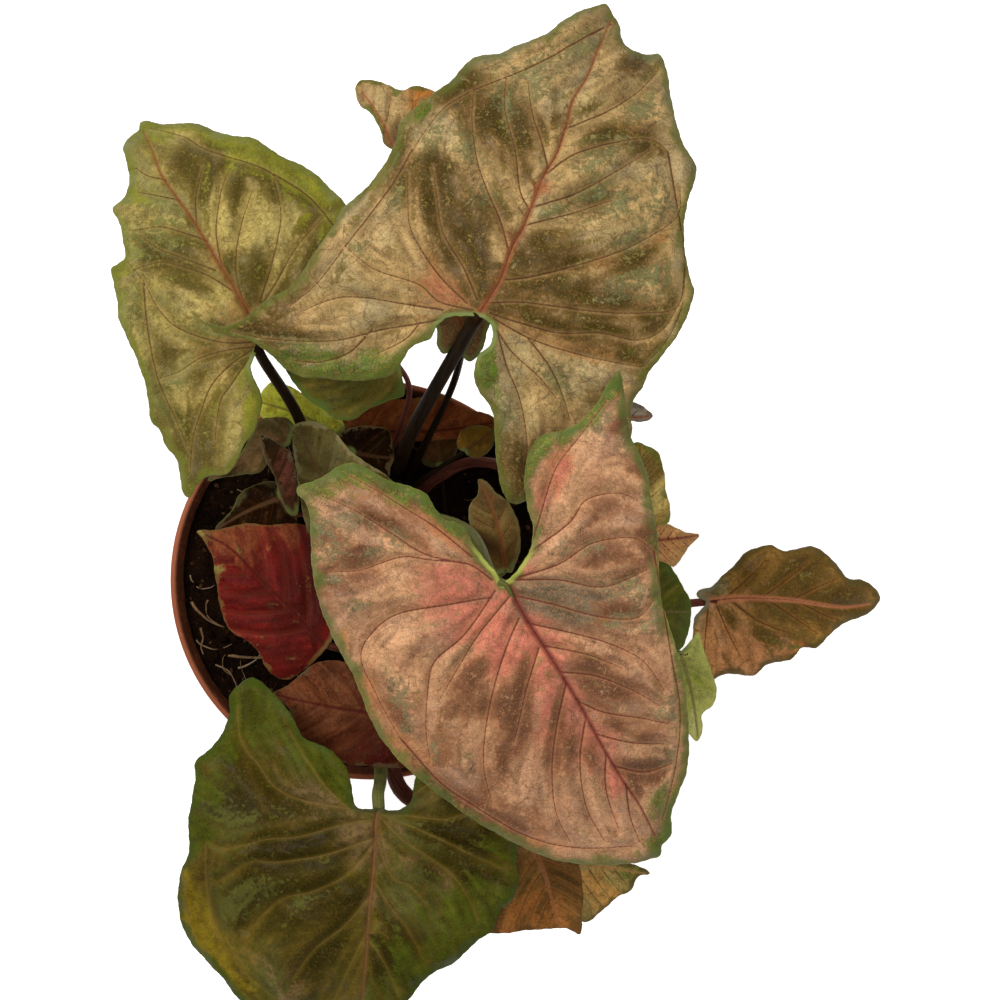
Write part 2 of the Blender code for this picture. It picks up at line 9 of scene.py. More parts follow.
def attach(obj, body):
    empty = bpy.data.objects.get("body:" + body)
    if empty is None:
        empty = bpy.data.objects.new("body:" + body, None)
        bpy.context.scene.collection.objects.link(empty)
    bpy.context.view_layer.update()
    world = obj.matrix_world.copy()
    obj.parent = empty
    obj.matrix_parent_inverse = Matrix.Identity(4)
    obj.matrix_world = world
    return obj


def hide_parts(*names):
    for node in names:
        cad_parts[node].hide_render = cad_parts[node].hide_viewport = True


# Potted arrowhead plant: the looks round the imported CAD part.  Metres, +Z up.  Pixel
# values are places on the 1000 x 1000 photograph, which looks straight down.
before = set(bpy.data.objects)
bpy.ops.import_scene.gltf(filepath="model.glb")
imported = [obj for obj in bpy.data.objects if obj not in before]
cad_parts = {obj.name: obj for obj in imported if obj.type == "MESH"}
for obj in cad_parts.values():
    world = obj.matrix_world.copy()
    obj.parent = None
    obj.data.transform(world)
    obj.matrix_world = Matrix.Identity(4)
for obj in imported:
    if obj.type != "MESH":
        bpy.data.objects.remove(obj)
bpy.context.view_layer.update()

MM = 0.001
RNG = np.random.RandomState(7)

# The photograph's viewpoint: a pixel's line of sight meets each blade where it shows it.
VIEW_X, VIEW_Y, VIEW_Z = 39 * MM, 24 * MM, 855 * MM
VIEW_SCALE_PX = 2500
VIEW_CENTRE_PX = 500
PHOTO_PX = 1000
SENSOR_MM = 36

# Pot, soil and crowns, as in the CAD part.
RIM_RADIUS = 60 * MM
POT_HEIGHT = 105 * MM
BASE_RADIUS = 43 * MM
LIP_HEIGHT = 12 * MM
WALL = 2.2 * MM
FLOOR = 3 * MM
GAP = 0.3 * MM
SOIL_TOP = 100 * MM
CROWN_RADIUS = 4.2 * MM
CROWN_RISE = 12 * MM
CROWNS = {"back": (7 * MM, 26 * MM), "left": (-13 * MM, 23 * MM),
          "front": (5 * MM, -23 * MM), "right": (30 * MM, -11 * MM)}

# The visible pot and what lies on the soil.
LIP_BOTTOM = POT_HEIGHT - LIP_HEIGHT
POT_STEPS = 144
SOIL_RINGS, SOIL_STEPS = 56, 200
SOIL_SAG = 1.2 * MM
CRUMBS = 900
FIBRES = 70
# Straws that the photograph shows on the soil: pixel, heading in degrees, length and
# radius in millimetres, curl.
STRAWS = [
    (191, 602, 300, 13, 0.55, 0.10), (200, 628, 285, 10, 0.45, -0.14),
    (228, 655, 350, 13, 0.60, 0.03), (208, 600, 240, 9, 0.30, 0.25),
    (196, 640, 310, 12, 0.28, 0.20), (215, 665, 340, 12, 0.30, -0.2),
    (238, 668, 10, 9, 0.4, 0.1), (190, 575, 280, 10, 0.25, 0.3),
]

# A blade's crease along the midrib and its waves about a centre, in leaf lengths.
CREASE = 0.04
WAVE_CENTRE, WAVE_REACH, WAVE_GAIN = 0.35, 0.8, 2.5

# Blades: spacing of their points in pixels, rows of points along the veins, and the
# unevenness of the margin: size, rate and turn of three waves.
MARGIN_STEP, VEIN_STEP = 2.0, 2.4
INSET, LEAST_GAP, GRID_GAP = 1.4, 0.9, 1.9
VEIN_ROWS = (0, 1.2, -1.2, 3, -3)
RAGGED = ((0.30, 0.23, 1), (0.20, 0.61, 2.1), (0.10, 1.4, 3.3))
# Patches of colour reach further along the veins than across them.
PATCH_LENGTH, PATCH_WIDTH = 1.75, 0.95
PATCH_KINDS = ("dark", "green", "rose", "lime", "warm", "light", "shade")
# What differs between the large leaves and the small ones: the grid's spacing, the width of
# the midrib at the notch, the shares of the other veins' width, of the relief and of the
# thickness, and the cells of two of the noises.
BIG = dict(step=3.0, rib=3.0, vein=1.0, relief=1.0, thick=1.0, streak=4.5, cloud=13)
SMALL = dict(step=2.4, rib=1.8, vein=0.75, relief=0.35, thick=0.75, streak=3, cloud=8)
RIB_END, VEIN_WIDTH, VEIN_END = 0.8, 1.7, 0.8
# Relief of a blade: depth, and reach in pixels from the veins or the midrib; the swells
# between the veins flatten towards the margin.
VEIN_GROOVE, VEIN_REACH = 0.26 * MM, 1.6
RIB_GROOVE, RIB_REACH = 0.30 * MM, 2.6
SWELLS = ((0.60 * MM, 6), (1.25 * MM, 17))
MARGIN_CALM = 10
# Undulations: height, wave length in pixels, number of waves, seed; and the puckering.
UNDULATIONS = ((0.45 * MM, 46, 9, 0), (0.18 * MM, 19, 9, 50), (0.035 * MM, 8, 12, 90))
PUCKER = 0.55 * MM
# Thickness of a blade: the depth of a midrib, and the share of it that is kept elsewhere,
# at the midrib and at the veins, with the reach of these in pixels.
BLADE_TOP = 0.12 * MM
RIB_DEPTH = 1.2 * MM
THIN_SHARE = 0.22
RIB_SHARE, RIB_SPREAD = 0.6, 3.6
VEIN_SHARE, VEIN_SPREAD = 0.12, 2.2
LATTICE = 256
STALK_SIDES = 14
AUTO_VEINS = 5
SIGHT_ROUNDS = 12


def sight(px, z):
    """Plan positions, at the height z, of what the pixels px (an N x 2 array) show."""
    px = np.atleast_2d(np.asarray(px, float))
    span = (VIEW_Z - z) / VIEW_SCALE_PX
    return np.stack([VIEW_X + (px[:, 0] - VIEW_CENTRE_PX) * span,
                     VIEW_Y - (px[:, 1] - VIEW_CENTRE_PX) * span], 1)


class Leaf:
    """One leaf: its margin in pixels and its shape in millimetres, as in the CAD part."""

    def __init__(self, name, slot, notch, tip, margin, height, fall=0, arch=0, fold=0,
                 roll=0, cup=0, wave=0, ripples=3, phase=0, crown="back", azimuth=0,
                 start=6, radius=1.0, via=()):
        self.name, self.slot, self.crown, self.via = name, slot, crown, via
        self.notch, self.tip = np.array(notch, float), np.array(tip, float)
        self.margin = np.reshape(margin, (-1, 2))
        self.height, self.fall, self.arch = height * MM, fall * MM, arch * MM
        self.fold, self.roll, self.cup = fold, roll, cup
        self.wave, self.ripples, self.phase = wave * MM, ripples, phase
        self.azimuth = math.radians(azimuth)
        self.start, self.radius = start * MM, radius * MM
        self.base = sight(notch, self.height)[0]
        end = sight(tip, self.height - self.fall)[0]
        self.length = float(np.linalg.norm(end - self.base))
        self.along = (end - self.base) / self.length

    def axes(self, x, y):
        """Places along and to the left of the leaf's line, in leaf lengths."""
        dx = x - self.base[0]
        dy = y - self.base[1]
        s = (dx * self.along[0] + dy * self.along[1]) / self.length
        t = (self.along[0] * dy - self.along[1] * dx) / self.length
        return s, t

    def surface(self, x, y):
        """Height of the blade's middle surface."""
        s, t = self.axes(x, y)
        bow = np.where(s > 0, 4 * s * (1 - s), 4 * s)
        crease = np.sqrt(t * t + CREASE * CREASE) - CREASE
        z = self.height - self.fall * s + self.arch * bow
        z = z + self.length * (self.fold * crease + self.roll * t + self.cup * t * t)
        out = np.hypot(s - WAVE_CENTRE, t)
        turn = np.arctan2(t, s - WAVE_CENTRE)
        swing = np.sin(self.ripples * turn + self.phase)
        return z + self.wave * swing * np.minimum(out, WAVE_REACH) ** 2 * WAVE_GAIN

    def place(self, px):
        """The points of the blade's middle surface that the pixels show."""
        z = np.full(len(px), self.height)
        for _ in range(SIGHT_ROUNDS):
            flat = sight(px, z)
            z = self.surface(flat[:, 0], flat[:, 1])
        return np.column_stack([flat, z])


# Each leaf's margin, and below it veins and patches, hold their pixels as x,y, x,y, ...
LEAVES = [
    # The large tan leaf at the top right, over everything but the pink leaf's lobe.
    Leaf("tan", "leaf_tan", notch=(478, 317), tip=(606, 5), height=225, fall=30, arch=12,
         fold=-0.16, roll=-0.01, cup=-0.12, wave=3.0, ripples=6, phase=0.6, crown="back",
         azimuth=80, start=8, radius=2.1,
         margin=(478,317, 462,316, 446,318, 437,326, 431,338, 420,343, 409,350, 402,362, 394,373,
                 378,379, 350,381, 320,378, 302,377, 287,370, 275,359, 262,348, 245,339, 226,335,
                 213,331, 210,323, 224,327, 238,322, 250,314, 262,303, 280,293, 292,285, 302,272,
                 318,247, 330,230, 343,208, 362,192, 376,176, 388,158, 396,140, 400,123, 412,111,
                 430,96, 450,81, 462,68, 472,58, 484,55, 500,53, 516,45, 535,39, 552,30, 565,19,
                 580,11, 594,6, 606,4, 613,14, 619,25, 622,39, 630,49, 645,54, 659,54, 666,67,
                 670,90, 674,112, 681,138, 691,157, 697,168, 693,186, 687,205, 684,230, 686,258,
                 691,280, 694,293, 689,311, 680,331, 666,351, 650,371, 642,388, 634,400, 631,414,
                 632,432, 622,448, 596,462, 568,476, 543,490, 524,502, 511,503, 503,493, 498,472,
                 495,445, 494,421, 489,404, 479,392, 474,374, 478,356, 489,346, 493,334, 490,324)),
    # The large khaki leaf at the top left.
    Leaf("khaki", "leaf_khaki", notch=(259, 347), tip=(143, 124), height=200, fall=28, arch=8,
         fold=-0.12, roll=0.03, cup=-0.14, wave=3.0, ripples=7, phase=1.0, crown="left",
         azimuth=128, start=7, radius=1.6, via=((300, 421, 152),),
         margin=(259,349, 254,358, 251,368, 254,379, 260,390, 262,404, 258,421, 252,435, 243,447,
                 237,463, 226,474, 207,477, 197,486, 191,497, 184,494, 180,478, 177,461, 166,446,
                 160,431, 151,420, 148,400, 145,382, 136,358, 128,340, 119,319, 117,300, 114,284,
                 111,270, 118,264, 125,256, 122,235, 118,220, 112,209, 117,203, 125,196, 129,178,
                 126,160, 123,147, 130,136, 138,130, 141,122, 150,121, 163,124, 182,123, 202,125,
                 218,132, 238,136, 256,139, 270,149, 287,159, 304,166, 320,178, 334,192, 347,206,
                 354,228, 352,258, 341,290, 322,318, 296,337, 272,346)),
    # The pink leaf in front: its lobe lies over the tan leaf.
    Leaf("pink", "leaf_pink", notch=(503, 583), tip=(657, 858), height=216, fall=42, arch=7,
         fold=-0.06, roll=0.10, cup=-0.08, wave=2.0, ripples=5, phase=2.2, crown="back",
         azimuth=-62, start=7, radius=1.8, via=((466, 530, 178),),
         margin=(503,583, 495,571, 484,558, 474,545, 466,530, 455,522, 445,520, 436,509, 427,495,
                 413,487, 397,483, 380,476, 364,466, 351,463, 338,466, 326,475, 310,482, 299,486,
                 297,494, 306,503, 310,520, 311,545, 312,570, 317,594, 325,620, 337,646, 352,673,
                 361,695, 371,720, 382,740, 398,759, 416,776, 438,794, 462,812, 490,830, 518,845,
                 545,857, 572,863, 600,865, 628,864, 648,860, 660,856, 662,846, 671,835, 672,812,
                 680,790, 687,770, 689,742, 687,705, 682,670, 672,635, 662,602, 659,570, 658,542,
                 653,508, 647,474, 639,453, 631,436, 627,412, 624,388, 619,372, 612,377, 600,398,
                 588,414, 570,428, 548,433, 535,441, 527,458, 524,480, 527,505, 533,528, 531,546,
                 523,562, 512,576)),
    # The dark olive leaf at the bottom left: the photograph cuts off its tip.
    Leaf("olive", "leaf_olive", notch=(379, 808), tip=(360, 1044), height=172, fall=22, arch=7,
         fold=-0.12, roll=0.0, cup=-0.12, wave=2.5, ripples=6, phase=0.2, crown="front",
         azimuth=-105, start=7, radius=2.0, via=((381, 772, 139),),
         margin=(379,808, 368,809, 357,807, 353,797, 351,780, 345,765, 333,752, 317,743, 303,738,
                 295,722, 285,706, 272,692, 261,681, 249,678, 237,686, 229,698, 229,714, 223,731,
                 213,746, 196,761, 195,780, 191,805, 188,826, 189,850, 181,872, 178,892, 180,917,
                 189,940, 205,960, 222,977, 240,1000, 268,1018, 305,1032, 340,1042, 360,1048,
                 382,1030, 410,998, 430,975, 455,962, 476,942, 492,930, 501,909, 514,898, 519,880,
                 516,858, 521,830, 524,800, 518,765, 505,738, 482,724, 458,728, 436,744, 420,764,
                 414,785, 411,801, 401,809, 390,810)),
    # Leaves round the outside.
    Leaf("brown", "leaf_brown", notch=(706, 602), tip=(880, 598), height=150, fall=16, arch=5,
         fold=-0.24, roll=0.02, wave=3.0, ripples=5, phase=0.4, crown="right", azimuth=-12,
         start=6, radius=1.3,
         margin=(706,602, 697,597, 699,590, 712,586, 724,574, 737,562, 747,551, 760,547, 772,545,
                 784,551, 796,549, 810,546, 824,552, 836,564, 848,578, 862,580, 873,586, 880,598,
                 873,610, 858,618, 841,625, 827,637, 816,648, 801,648, 790,660, 768,664, 755,675,
                 740,675, 724,674, 711,680, 700,668, 693,645, 694,620, 701,609)),
    Leaf("beige", "leaf_beige", notch=(468, 338), tip=(356, 84), height=205, fall=12, arch=2,
         fold=-0.08, wave=1.5, ripples=5, phase=0.5, crown="back", azimuth=43, start=9, radius=1.0,
         via=((450, 392, 150),),
         margin=(468,338, 461,343, 452,351, 443,354, 437,344, 436,328, 424,308, 404,285, 392,258,
                 385,225, 386,192, 392,165, 396,152, 384,144, 380,129, 371,114, 360,105, 355,90,
                 360,81, 374,80, 388,85, 402,90, 416,86, 432,90, 455,105, 478,138, 496,180,
                 505,225, 506,268, 498,305, 488,330, 482,350, 472,361, 463,357, 462,348)),
    Leaf("green_back", "leaf_green", notch=(399, 357), tip=(300, 240), height=186, fall=4, arch=2,
         fold=-0.08, wave=1.0, ripples=4, crown="back", azimuth=137, start=8, radius=0.8,
         via=((409, 398, 158),),
         margin=(399,357, 402,374, 404,395, 388,401, 368,410, 352,420, 336,419, 322,409, 306,398,
                 292,380, 282,362, 277,335, 278,300, 287,265, 300,240, 330,248, 362,266, 392,292,
                 412,320, 415,342, 407,350)),
    Leaf("yellow_back", "leaf_yellow", notch=(338, 436), tip=(259, 402), height=124, fall=-4,
         arch=2, fold=-0.1, crown="left", azimuth=100, start=7, radius=0.8,
         margin=(338,436, 345,428, 338,416, 322,406, 306,397, 292,387, 276,382, 265,387, 258,402,
                 262,418, 280,428, 305,440, 325,445)),
    Leaf("red_back", "leaf_red", notch=(345, 428), tip=(496, 422), height=114, fall=-6, arch=3,
         fold=-0.1, wave=1.0, ripples=4, crown="left", azimuth=66, start=6, radius=0.8,
         margin=(345,428, 330,424, 318,410, 326,402, 350,399, 380,398, 410,399, 438,394, 452,401,
                 466,410, 482,412, 495,419, 493,428, 476,436, 440,440, 400,442, 365,440, 350,436)),
    Leaf("dark_centre", "leaf_dark", notch=(352, 452), tip=(394, 458), height=136, fall=-2, arch=2,
         fold=-0.1, crown="left", azimuth=34, start=8, radius=0.7,
         margin=(352,452, 342,446, 338,436, 350,428, 370,426, 386,429, 391,436, 393,448, 394,458,
                 391,467, 388,480, 378,484, 364,480, 350,468, 347,458)),
    Leaf("olive_curl", "leaf_olive", notch=(350, 520), tip=(297, 424), height=168, fall=-6, arch=3,
         fold=-0.15, wave=1.5, ripples=3, crown="left", azimuth=-48, start=7, radius=1.1,
         margin=(350,520, 334,536, 316,538, 306,526, 301,502, 298,484, 295,462, 292,440, 293,428,
                 300,422, 316,422, 332,430, 344,443, 354,454, 372,466, 392,480, 402,498, 398,518,
                 378,534, 362,530)),
    Leaf("folded", "leaf_brown", notch=(295, 516), tip=(260, 436), height=132, fall=-22, arch=-1,
         fold=0.5, crown="left", azimuth=-142, start=6, radius=0.7,
         margin=(295,516, 289,514, 280,498, 276,480, 268,465, 262,448, 260,436, 270,438, 282,446,
                 291,454, 295,468, 297,486, 299,502, 298,514)),
    Leaf("grey_pink", "leaf_beige", notch=(292, 436), tip=(209, 480), height=143, fall=16, arch=2,
         fold=-0.1, crown="left", azimuth=164, start=6, radius=0.7,
         margin=(292,436, 295,427, 288,419, 274,417, 260,420, 252,434, 243,450, 231,465, 213,474,
                 208,481, 222,478, 240,475, 258,473, 270,462, 282,450, 290,445)),
    Leaf("dark_left", "leaf_dark", notch=(284, 497), tip=(216, 530), height=122, fall=6, arch=2,
         fold=-0.1, crown="front", azimuth=120, start=6, radius=0.7,
         margin=(284,497, 276,483, 263,482, 248,488, 238,496, 232,510, 222,520, 216,530, 236,538,
                 262,542, 284,540, 296,524, 297,506, 290,497)),
    Leaf("red_left", "leaf_red", notch=(328, 646), tip=(197, 531), height=138, fall=12, arch=3,
         fold=-0.12, wave=1.5, ripples=4, phase=1.0, crown="front", azimuth=168, start=6,
         radius=1.2,
         margin=(328,646, 318,658, 304,670, 290,679, 276,677, 266,667, 260,655, 248,641, 234,634,
                 224,619, 219,600, 215,575, 212,556, 204,541, 197,531, 213,530, 230,527, 246,523,
                 264,525, 284,524, 304,525, 318,540, 328,565, 335,595, 336,622, 333,638)),
    Leaf("maroon", "leaf_red", notch=(404, 716), tip=(273, 694), height=150, fall=4, arch=3,
         fold=-0.12, wave=1.0, ripples=4, crown="front", azimuth=-150, start=7, radius=0.9,
         margin=(404,716, 412,730, 414,752, 404,767, 386,768, 366,766, 346,764, 328,753, 308,742,
                 297,728, 288,708, 273,694, 290,684, 304,671, 322,661, 344,662, 368,672, 390,688,
                 402,704)),
    Leaf("red_front", "leaf_red", notch=(532, 846), tip=(560, 932), height=148, fall=8, arch=2,
         fold=-0.25, crown="front", azimuth=-52, start=6, radius=2.4, via=((401, 790, 128),),
         margin=(532,846, 518,838, 502,848, 494,872, 489,905, 488,931, 505,933, 530,930, 550,929,
                 566,928, 580,934, 582,915, 583,890, 579,866, 568,844, 550,834, 538,838)),
    Leaf("orange_front", "leaf_yellow", notch=(560, 862), tip=(648, 874), height=136, fall=8,
         arch=2, fold=-0.15, crown="front", azimuth=-10, start=6, radius=0.8,
         margin=(560,862, 572,850, 590,856, 612,862, 634,864, 650,873, 638,877, 630,891, 616,898,
                 602,911, 586,922, 572,914, 560,895, 552,876)),
    Leaf("green_right", "leaf_green", notch=(634, 610), tip=(691, 612), height=177, fall=12,
         arch=2, fold=-0.1, crown="right", azimuth=14, start=7, radius=0.8,
         margin=(634,610, 628,594, 632,568, 645,546, 660,546, 672,568, 684,588, 691,604, 690,624,
                 682,648, 664,650, 642,640, 630,624)),
    Leaf("lime_right", "leaf_yellow", notch=(680, 652), tip=(698, 740), height=159, fall=12,
         arch=2, fold=-0.15, crown="right", azimuth=-44, start=6, radius=0.8,
         margin=(680,652, 688,644, 698,632, 703,646, 709,664, 716,686, 714,704, 702,714, 703,728,
                 697,741, 688,732, 684,712, 674,698, 662,682, 660,664, 668,654)),
    Leaf("pink_right", "leaf_pink", notch=(640, 540), tip=(699, 535), height=186, fall=10, arch=2,
         fold=-0.15, crown="right", azimuth=36, start=8, radius=0.7,
         margin=(640,540, 636,528, 645,520, 660,520, 674,527, 686,532, 699,535, 690,546, 682,557,
                 674,567, 664,562, 650,558, 638,550)),
    Leaf("yellow_right", "leaf_yellow", notch=(640, 516), tip=(640, 443), height=194, fall=4,
         arch=2, fold=-0.1, wave=1.0, ripples=4, crown="back", azimuth=-16, start=7, radius=1.5,
         via=((440, 476, 121), (491, 463, 136)),
         margin=(640,516, 628,508, 624,488, 626,464, 634,443, 648,446, 659,454, 664,472, 666,490,
                 670,508, 669,522, 656,524, 648,516)),
    Leaf("dry_tip", "leaf_dry", notch=(598, 414), tip=(653, 416), height=198, fall=4, arch=1,
         fold=-0.1, crown="right", azimuth=56, start=8, radius=0.6, via=((560, 520, 135),),
         margin=(598,414, 600,404, 614,400, 632,402, 644,407, 653,416, 642,422, 626,421, 610,424,
                 600,422)),
    # Small leaves over the middle of the pot.
    Leaf("khaki_centre", "leaf_khaki", notch=(506, 572), tip=(479, 478), height=152, fall=-6,
         arch=2, fold=-0.1, crown="right", azimuth=98, start=7, radius=0.9,
         margin=(506,572, 496,574, 486,562, 477,545, 470,524, 469,506, 478,494, 478,479, 488,483,
                 496,492, 508,502, 517,518, 521,540, 518,558, 512,572)),
    Leaf("brown_centre", "leaf_dark", notch=(440, 466), tip=(436, 434), height=113, fall=-1,
         arch=1, fold=-0.1, crown="right", azimuth=146, start=6, radius=0.7,
         margin=(440,466, 430,467, 422,462, 419,451, 424,440, 434,434, 447,434, 459,437, 457,450,
                 450,463)),
    Leaf("olive_centre", "leaf_khaki", notch=(464, 452), tip=(493, 430), height=146, fall=-4,
         arch=1, fold=-0.1, crown="back", azimuth=16, start=8, radius=0.7,
         margin=(464,452, 457,446, 460,432, 472,426, 486,426, 494,434, 492,448, 480,457, 470,457)),
]

# Veins of the large leaves, from the midrib or the notch outwards, in pixels.
MIDRIBS = {
    "tan": (480,312, 500,280, 512,247, 522,230, 530,210, 543,177, 557,153, 567,123, 573,100,
        587,77, 598,50, 611,20),
    "khaki": (259,347, 249,315, 239,297, 220,265, 204,238, 191,217, 175,195, 161,174, 152,150,
        143,131),
    "pink": (503,583, 509,586, 526,618, 553,661, 580,705, 600,742, 620,776, 640,806, 655,836),
    "olive": (379,808, 376,820, 375,838, 373,874, 369,910, 366,958, 362,999, 360,1036),
    "brown": (706,602, 740,598, 790,600, 840,607, 870,604),
    "beige": (468,338, 446,290, 424,235, 402,170, 380,118, 362,92),
    "red_left": (328,646, 320,640, 290,608, 258,576, 230,548, 206,535),
    "red_front": (532,846, 544,872, 552,900, 560,928),
}
SIDE_VEINS = {
    "tan": [
        (508,248, 500,220, 487,190, 477,160, 472,120, 474,90),
        (477,300, 463,267, 443,233, 437,197, 432,166),
        (467,303, 443,280, 423,253, 410,227, 408,200, 408,172),
        (473,310, 440,302, 423,287, 407,280, 372,268, 345,246),
        (443,310, 410,305, 360,297, 330,300, 300,312),
        (470,312, 427,322, 380,330, 340,340, 300,341, 262,338, 232,331),
        (530,210, 520,190, 515,150, 505,110, 506,78),
        (548,168, 541,140, 532,112, 528,82),
        (524,226, 538,222, 577,212, 612,200),
        (503,280, 530,277, 570,267, 610,255, 643,240, 677,217, 680,190),
        (487,303, 520,302, 560,307, 600,312, 640,313, 677,307, 684,270),
        (490,313, 520,323, 560,333, 600,333, 637,340, 662,330, 677,307),
        (493,318, 527,337, 563,350, 603,360, 640,367),
        (497,330, 507,367, 520,400, 527,443, 524,474),
        (527,337, 547,363, 560,388, 570,420),
        (547,173, 577,153, 627,140, 653,140, 668,152),
        (533,207, 577,193, 630,163, 652,148),
        (563,130, 610,110, 640,90, 655,74),
        (372,329, 350,352, 320,362, 292,360),
        (420,322, 404,340, 372,356),
        (668,152, 676,200, 684,250, 683,300, 668,338, 644,366),
        (611,24, 580,40, 548,58, 510,76, 470,92, 440,112, 412,150),
        (412,150, 395,180, 372,212, 350,240, 318,282, 290,306),
        (497,330, 512,352, 540,378, 556,398),
    ],
    "khaki": [
        (233,291, 207,275, 180,266, 159,262, 128,272),
        (215,270, 180,257, 159,249, 140,235),
        (207,241, 188,234, 161,227, 135,230),
        (257,342, 220,342, 180,329, 159,310, 143,281, 128,262),
        (255,347, 228,350, 201,358, 180,371, 161,378),
        (252,350, 233,363, 212,385, 201,411, 193,438, 190,470),
        (249,358, 233,382, 220,403, 215,440),
        (260,302, 273,259, 281,217, 273,174),
        (252,318, 271,291, 292,254, 308,233, 326,214),
        (334,226, 308,196, 273,174, 249,163, 207,150, 184,137, 150,128),
        (244,303, 236,270, 240,230, 252,190),
        (222,268, 216,230, 222,190, 230,168),
        (196,224, 196,196, 203,168),
        (180,200, 158,196, 138,192),
        (166,180, 148,176, 136,168),
        (143,281, 148,330, 158,378, 176,420, 190,452),
    ],
    "pink": [
        (495,591, 465,634, 435,661, 428,688, 426,729, 430,762),
        (509,597, 479,634, 458,668, 438,702),
        (519,618, 505,651, 492,695, 485,735, 484,769, 492,802),
        (539,648, 526,690, 519,722, 514,742),
        (566,684, 556,730, 552,772, 556,812, 570,842),
        (586,716, 580,760, 586,806, 604,840),
        (606,752, 606,790, 618,828),
        (626,784, 630,816, 640,842),
        (492,597, 452,604, 398,614, 371,634, 361,658, 376,694, 400,738),
        (492,580, 468,564, 431,560, 401,557, 361,570, 330,572),
        (468,564, 425,554, 391,533, 354,510, 322,496),
        (472,557, 435,527, 408,510, 381,493, 350,476),
        (505,580, 526,556, 539,520, 549,486, 559,463, 580,436, 606,402),
        (530,552, 569,523, 586,500, 617,493, 638,500),
        (519,577, 559,564, 593,543, 633,538, 654,552),
        (512,580, 559,580, 603,587, 647,570),
        (532,624, 576,634, 610,644, 643,661, 664,690),
        (576,700, 603,712, 640,718, 668,724),
        (560,672, 596,676, 632,690, 660,706),
        (596,734, 628,742, 664,744),
        (614,766, 644,772, 672,764),
        (544,646, 586,654, 622,668),
        (516,596, 552,604, 596,616, 636,618, 654,600),
        (654,552, 662,600, 672,660, 680,710, 676,764, 662,820),
        (400,738, 440,782, 484,812, 532,838, 580,848, 632,846),
    ],
    "olive": [
        (372,814, 338,807, 304,801, 276,788, 259,766, 240,737, 238,706),
        (352,812, 324,785, 302,752, 290,732),
        (374,819, 338,826, 302,836, 266,840, 228,848, 206,842),
        (374,838, 326,855, 278,862, 249,862, 222,880),
        (374,843, 348,874, 314,891, 280,900, 250,930),
        (379,816, 400,838, 429,857, 453,876, 468,898, 478,920),
        (376,838, 391,876, 410,886, 430,910),
        (374,881, 391,908, 408,929, 422,958),
        (381,814, 410,816, 446,819, 480,806, 500,782),
        (370,896, 344,926, 314,950, 292,980),
        (367,930, 350,966, 334,1000),
        (366,936, 384,962, 396,990),
        (388,812, 420,790, 452,766, 476,748),
        (381,814, 424,832, 466,852, 500,868),
        (206,842, 206,880, 214,920, 236,962, 272,998),
    ],
    "brown": [
        (730,600, 760,622, 795,635),
        (716,604, 728,632, 742,660),
        (722,600, 744,582, 766,560),
        (760,599, 786,580, 808,562),
        (792,600, 816,588, 838,578),
        (768,600, 792,616, 818,634),
        (800,602, 822,614, 838,620),
        (708,606, 706,630, 704,654),
    ],
}

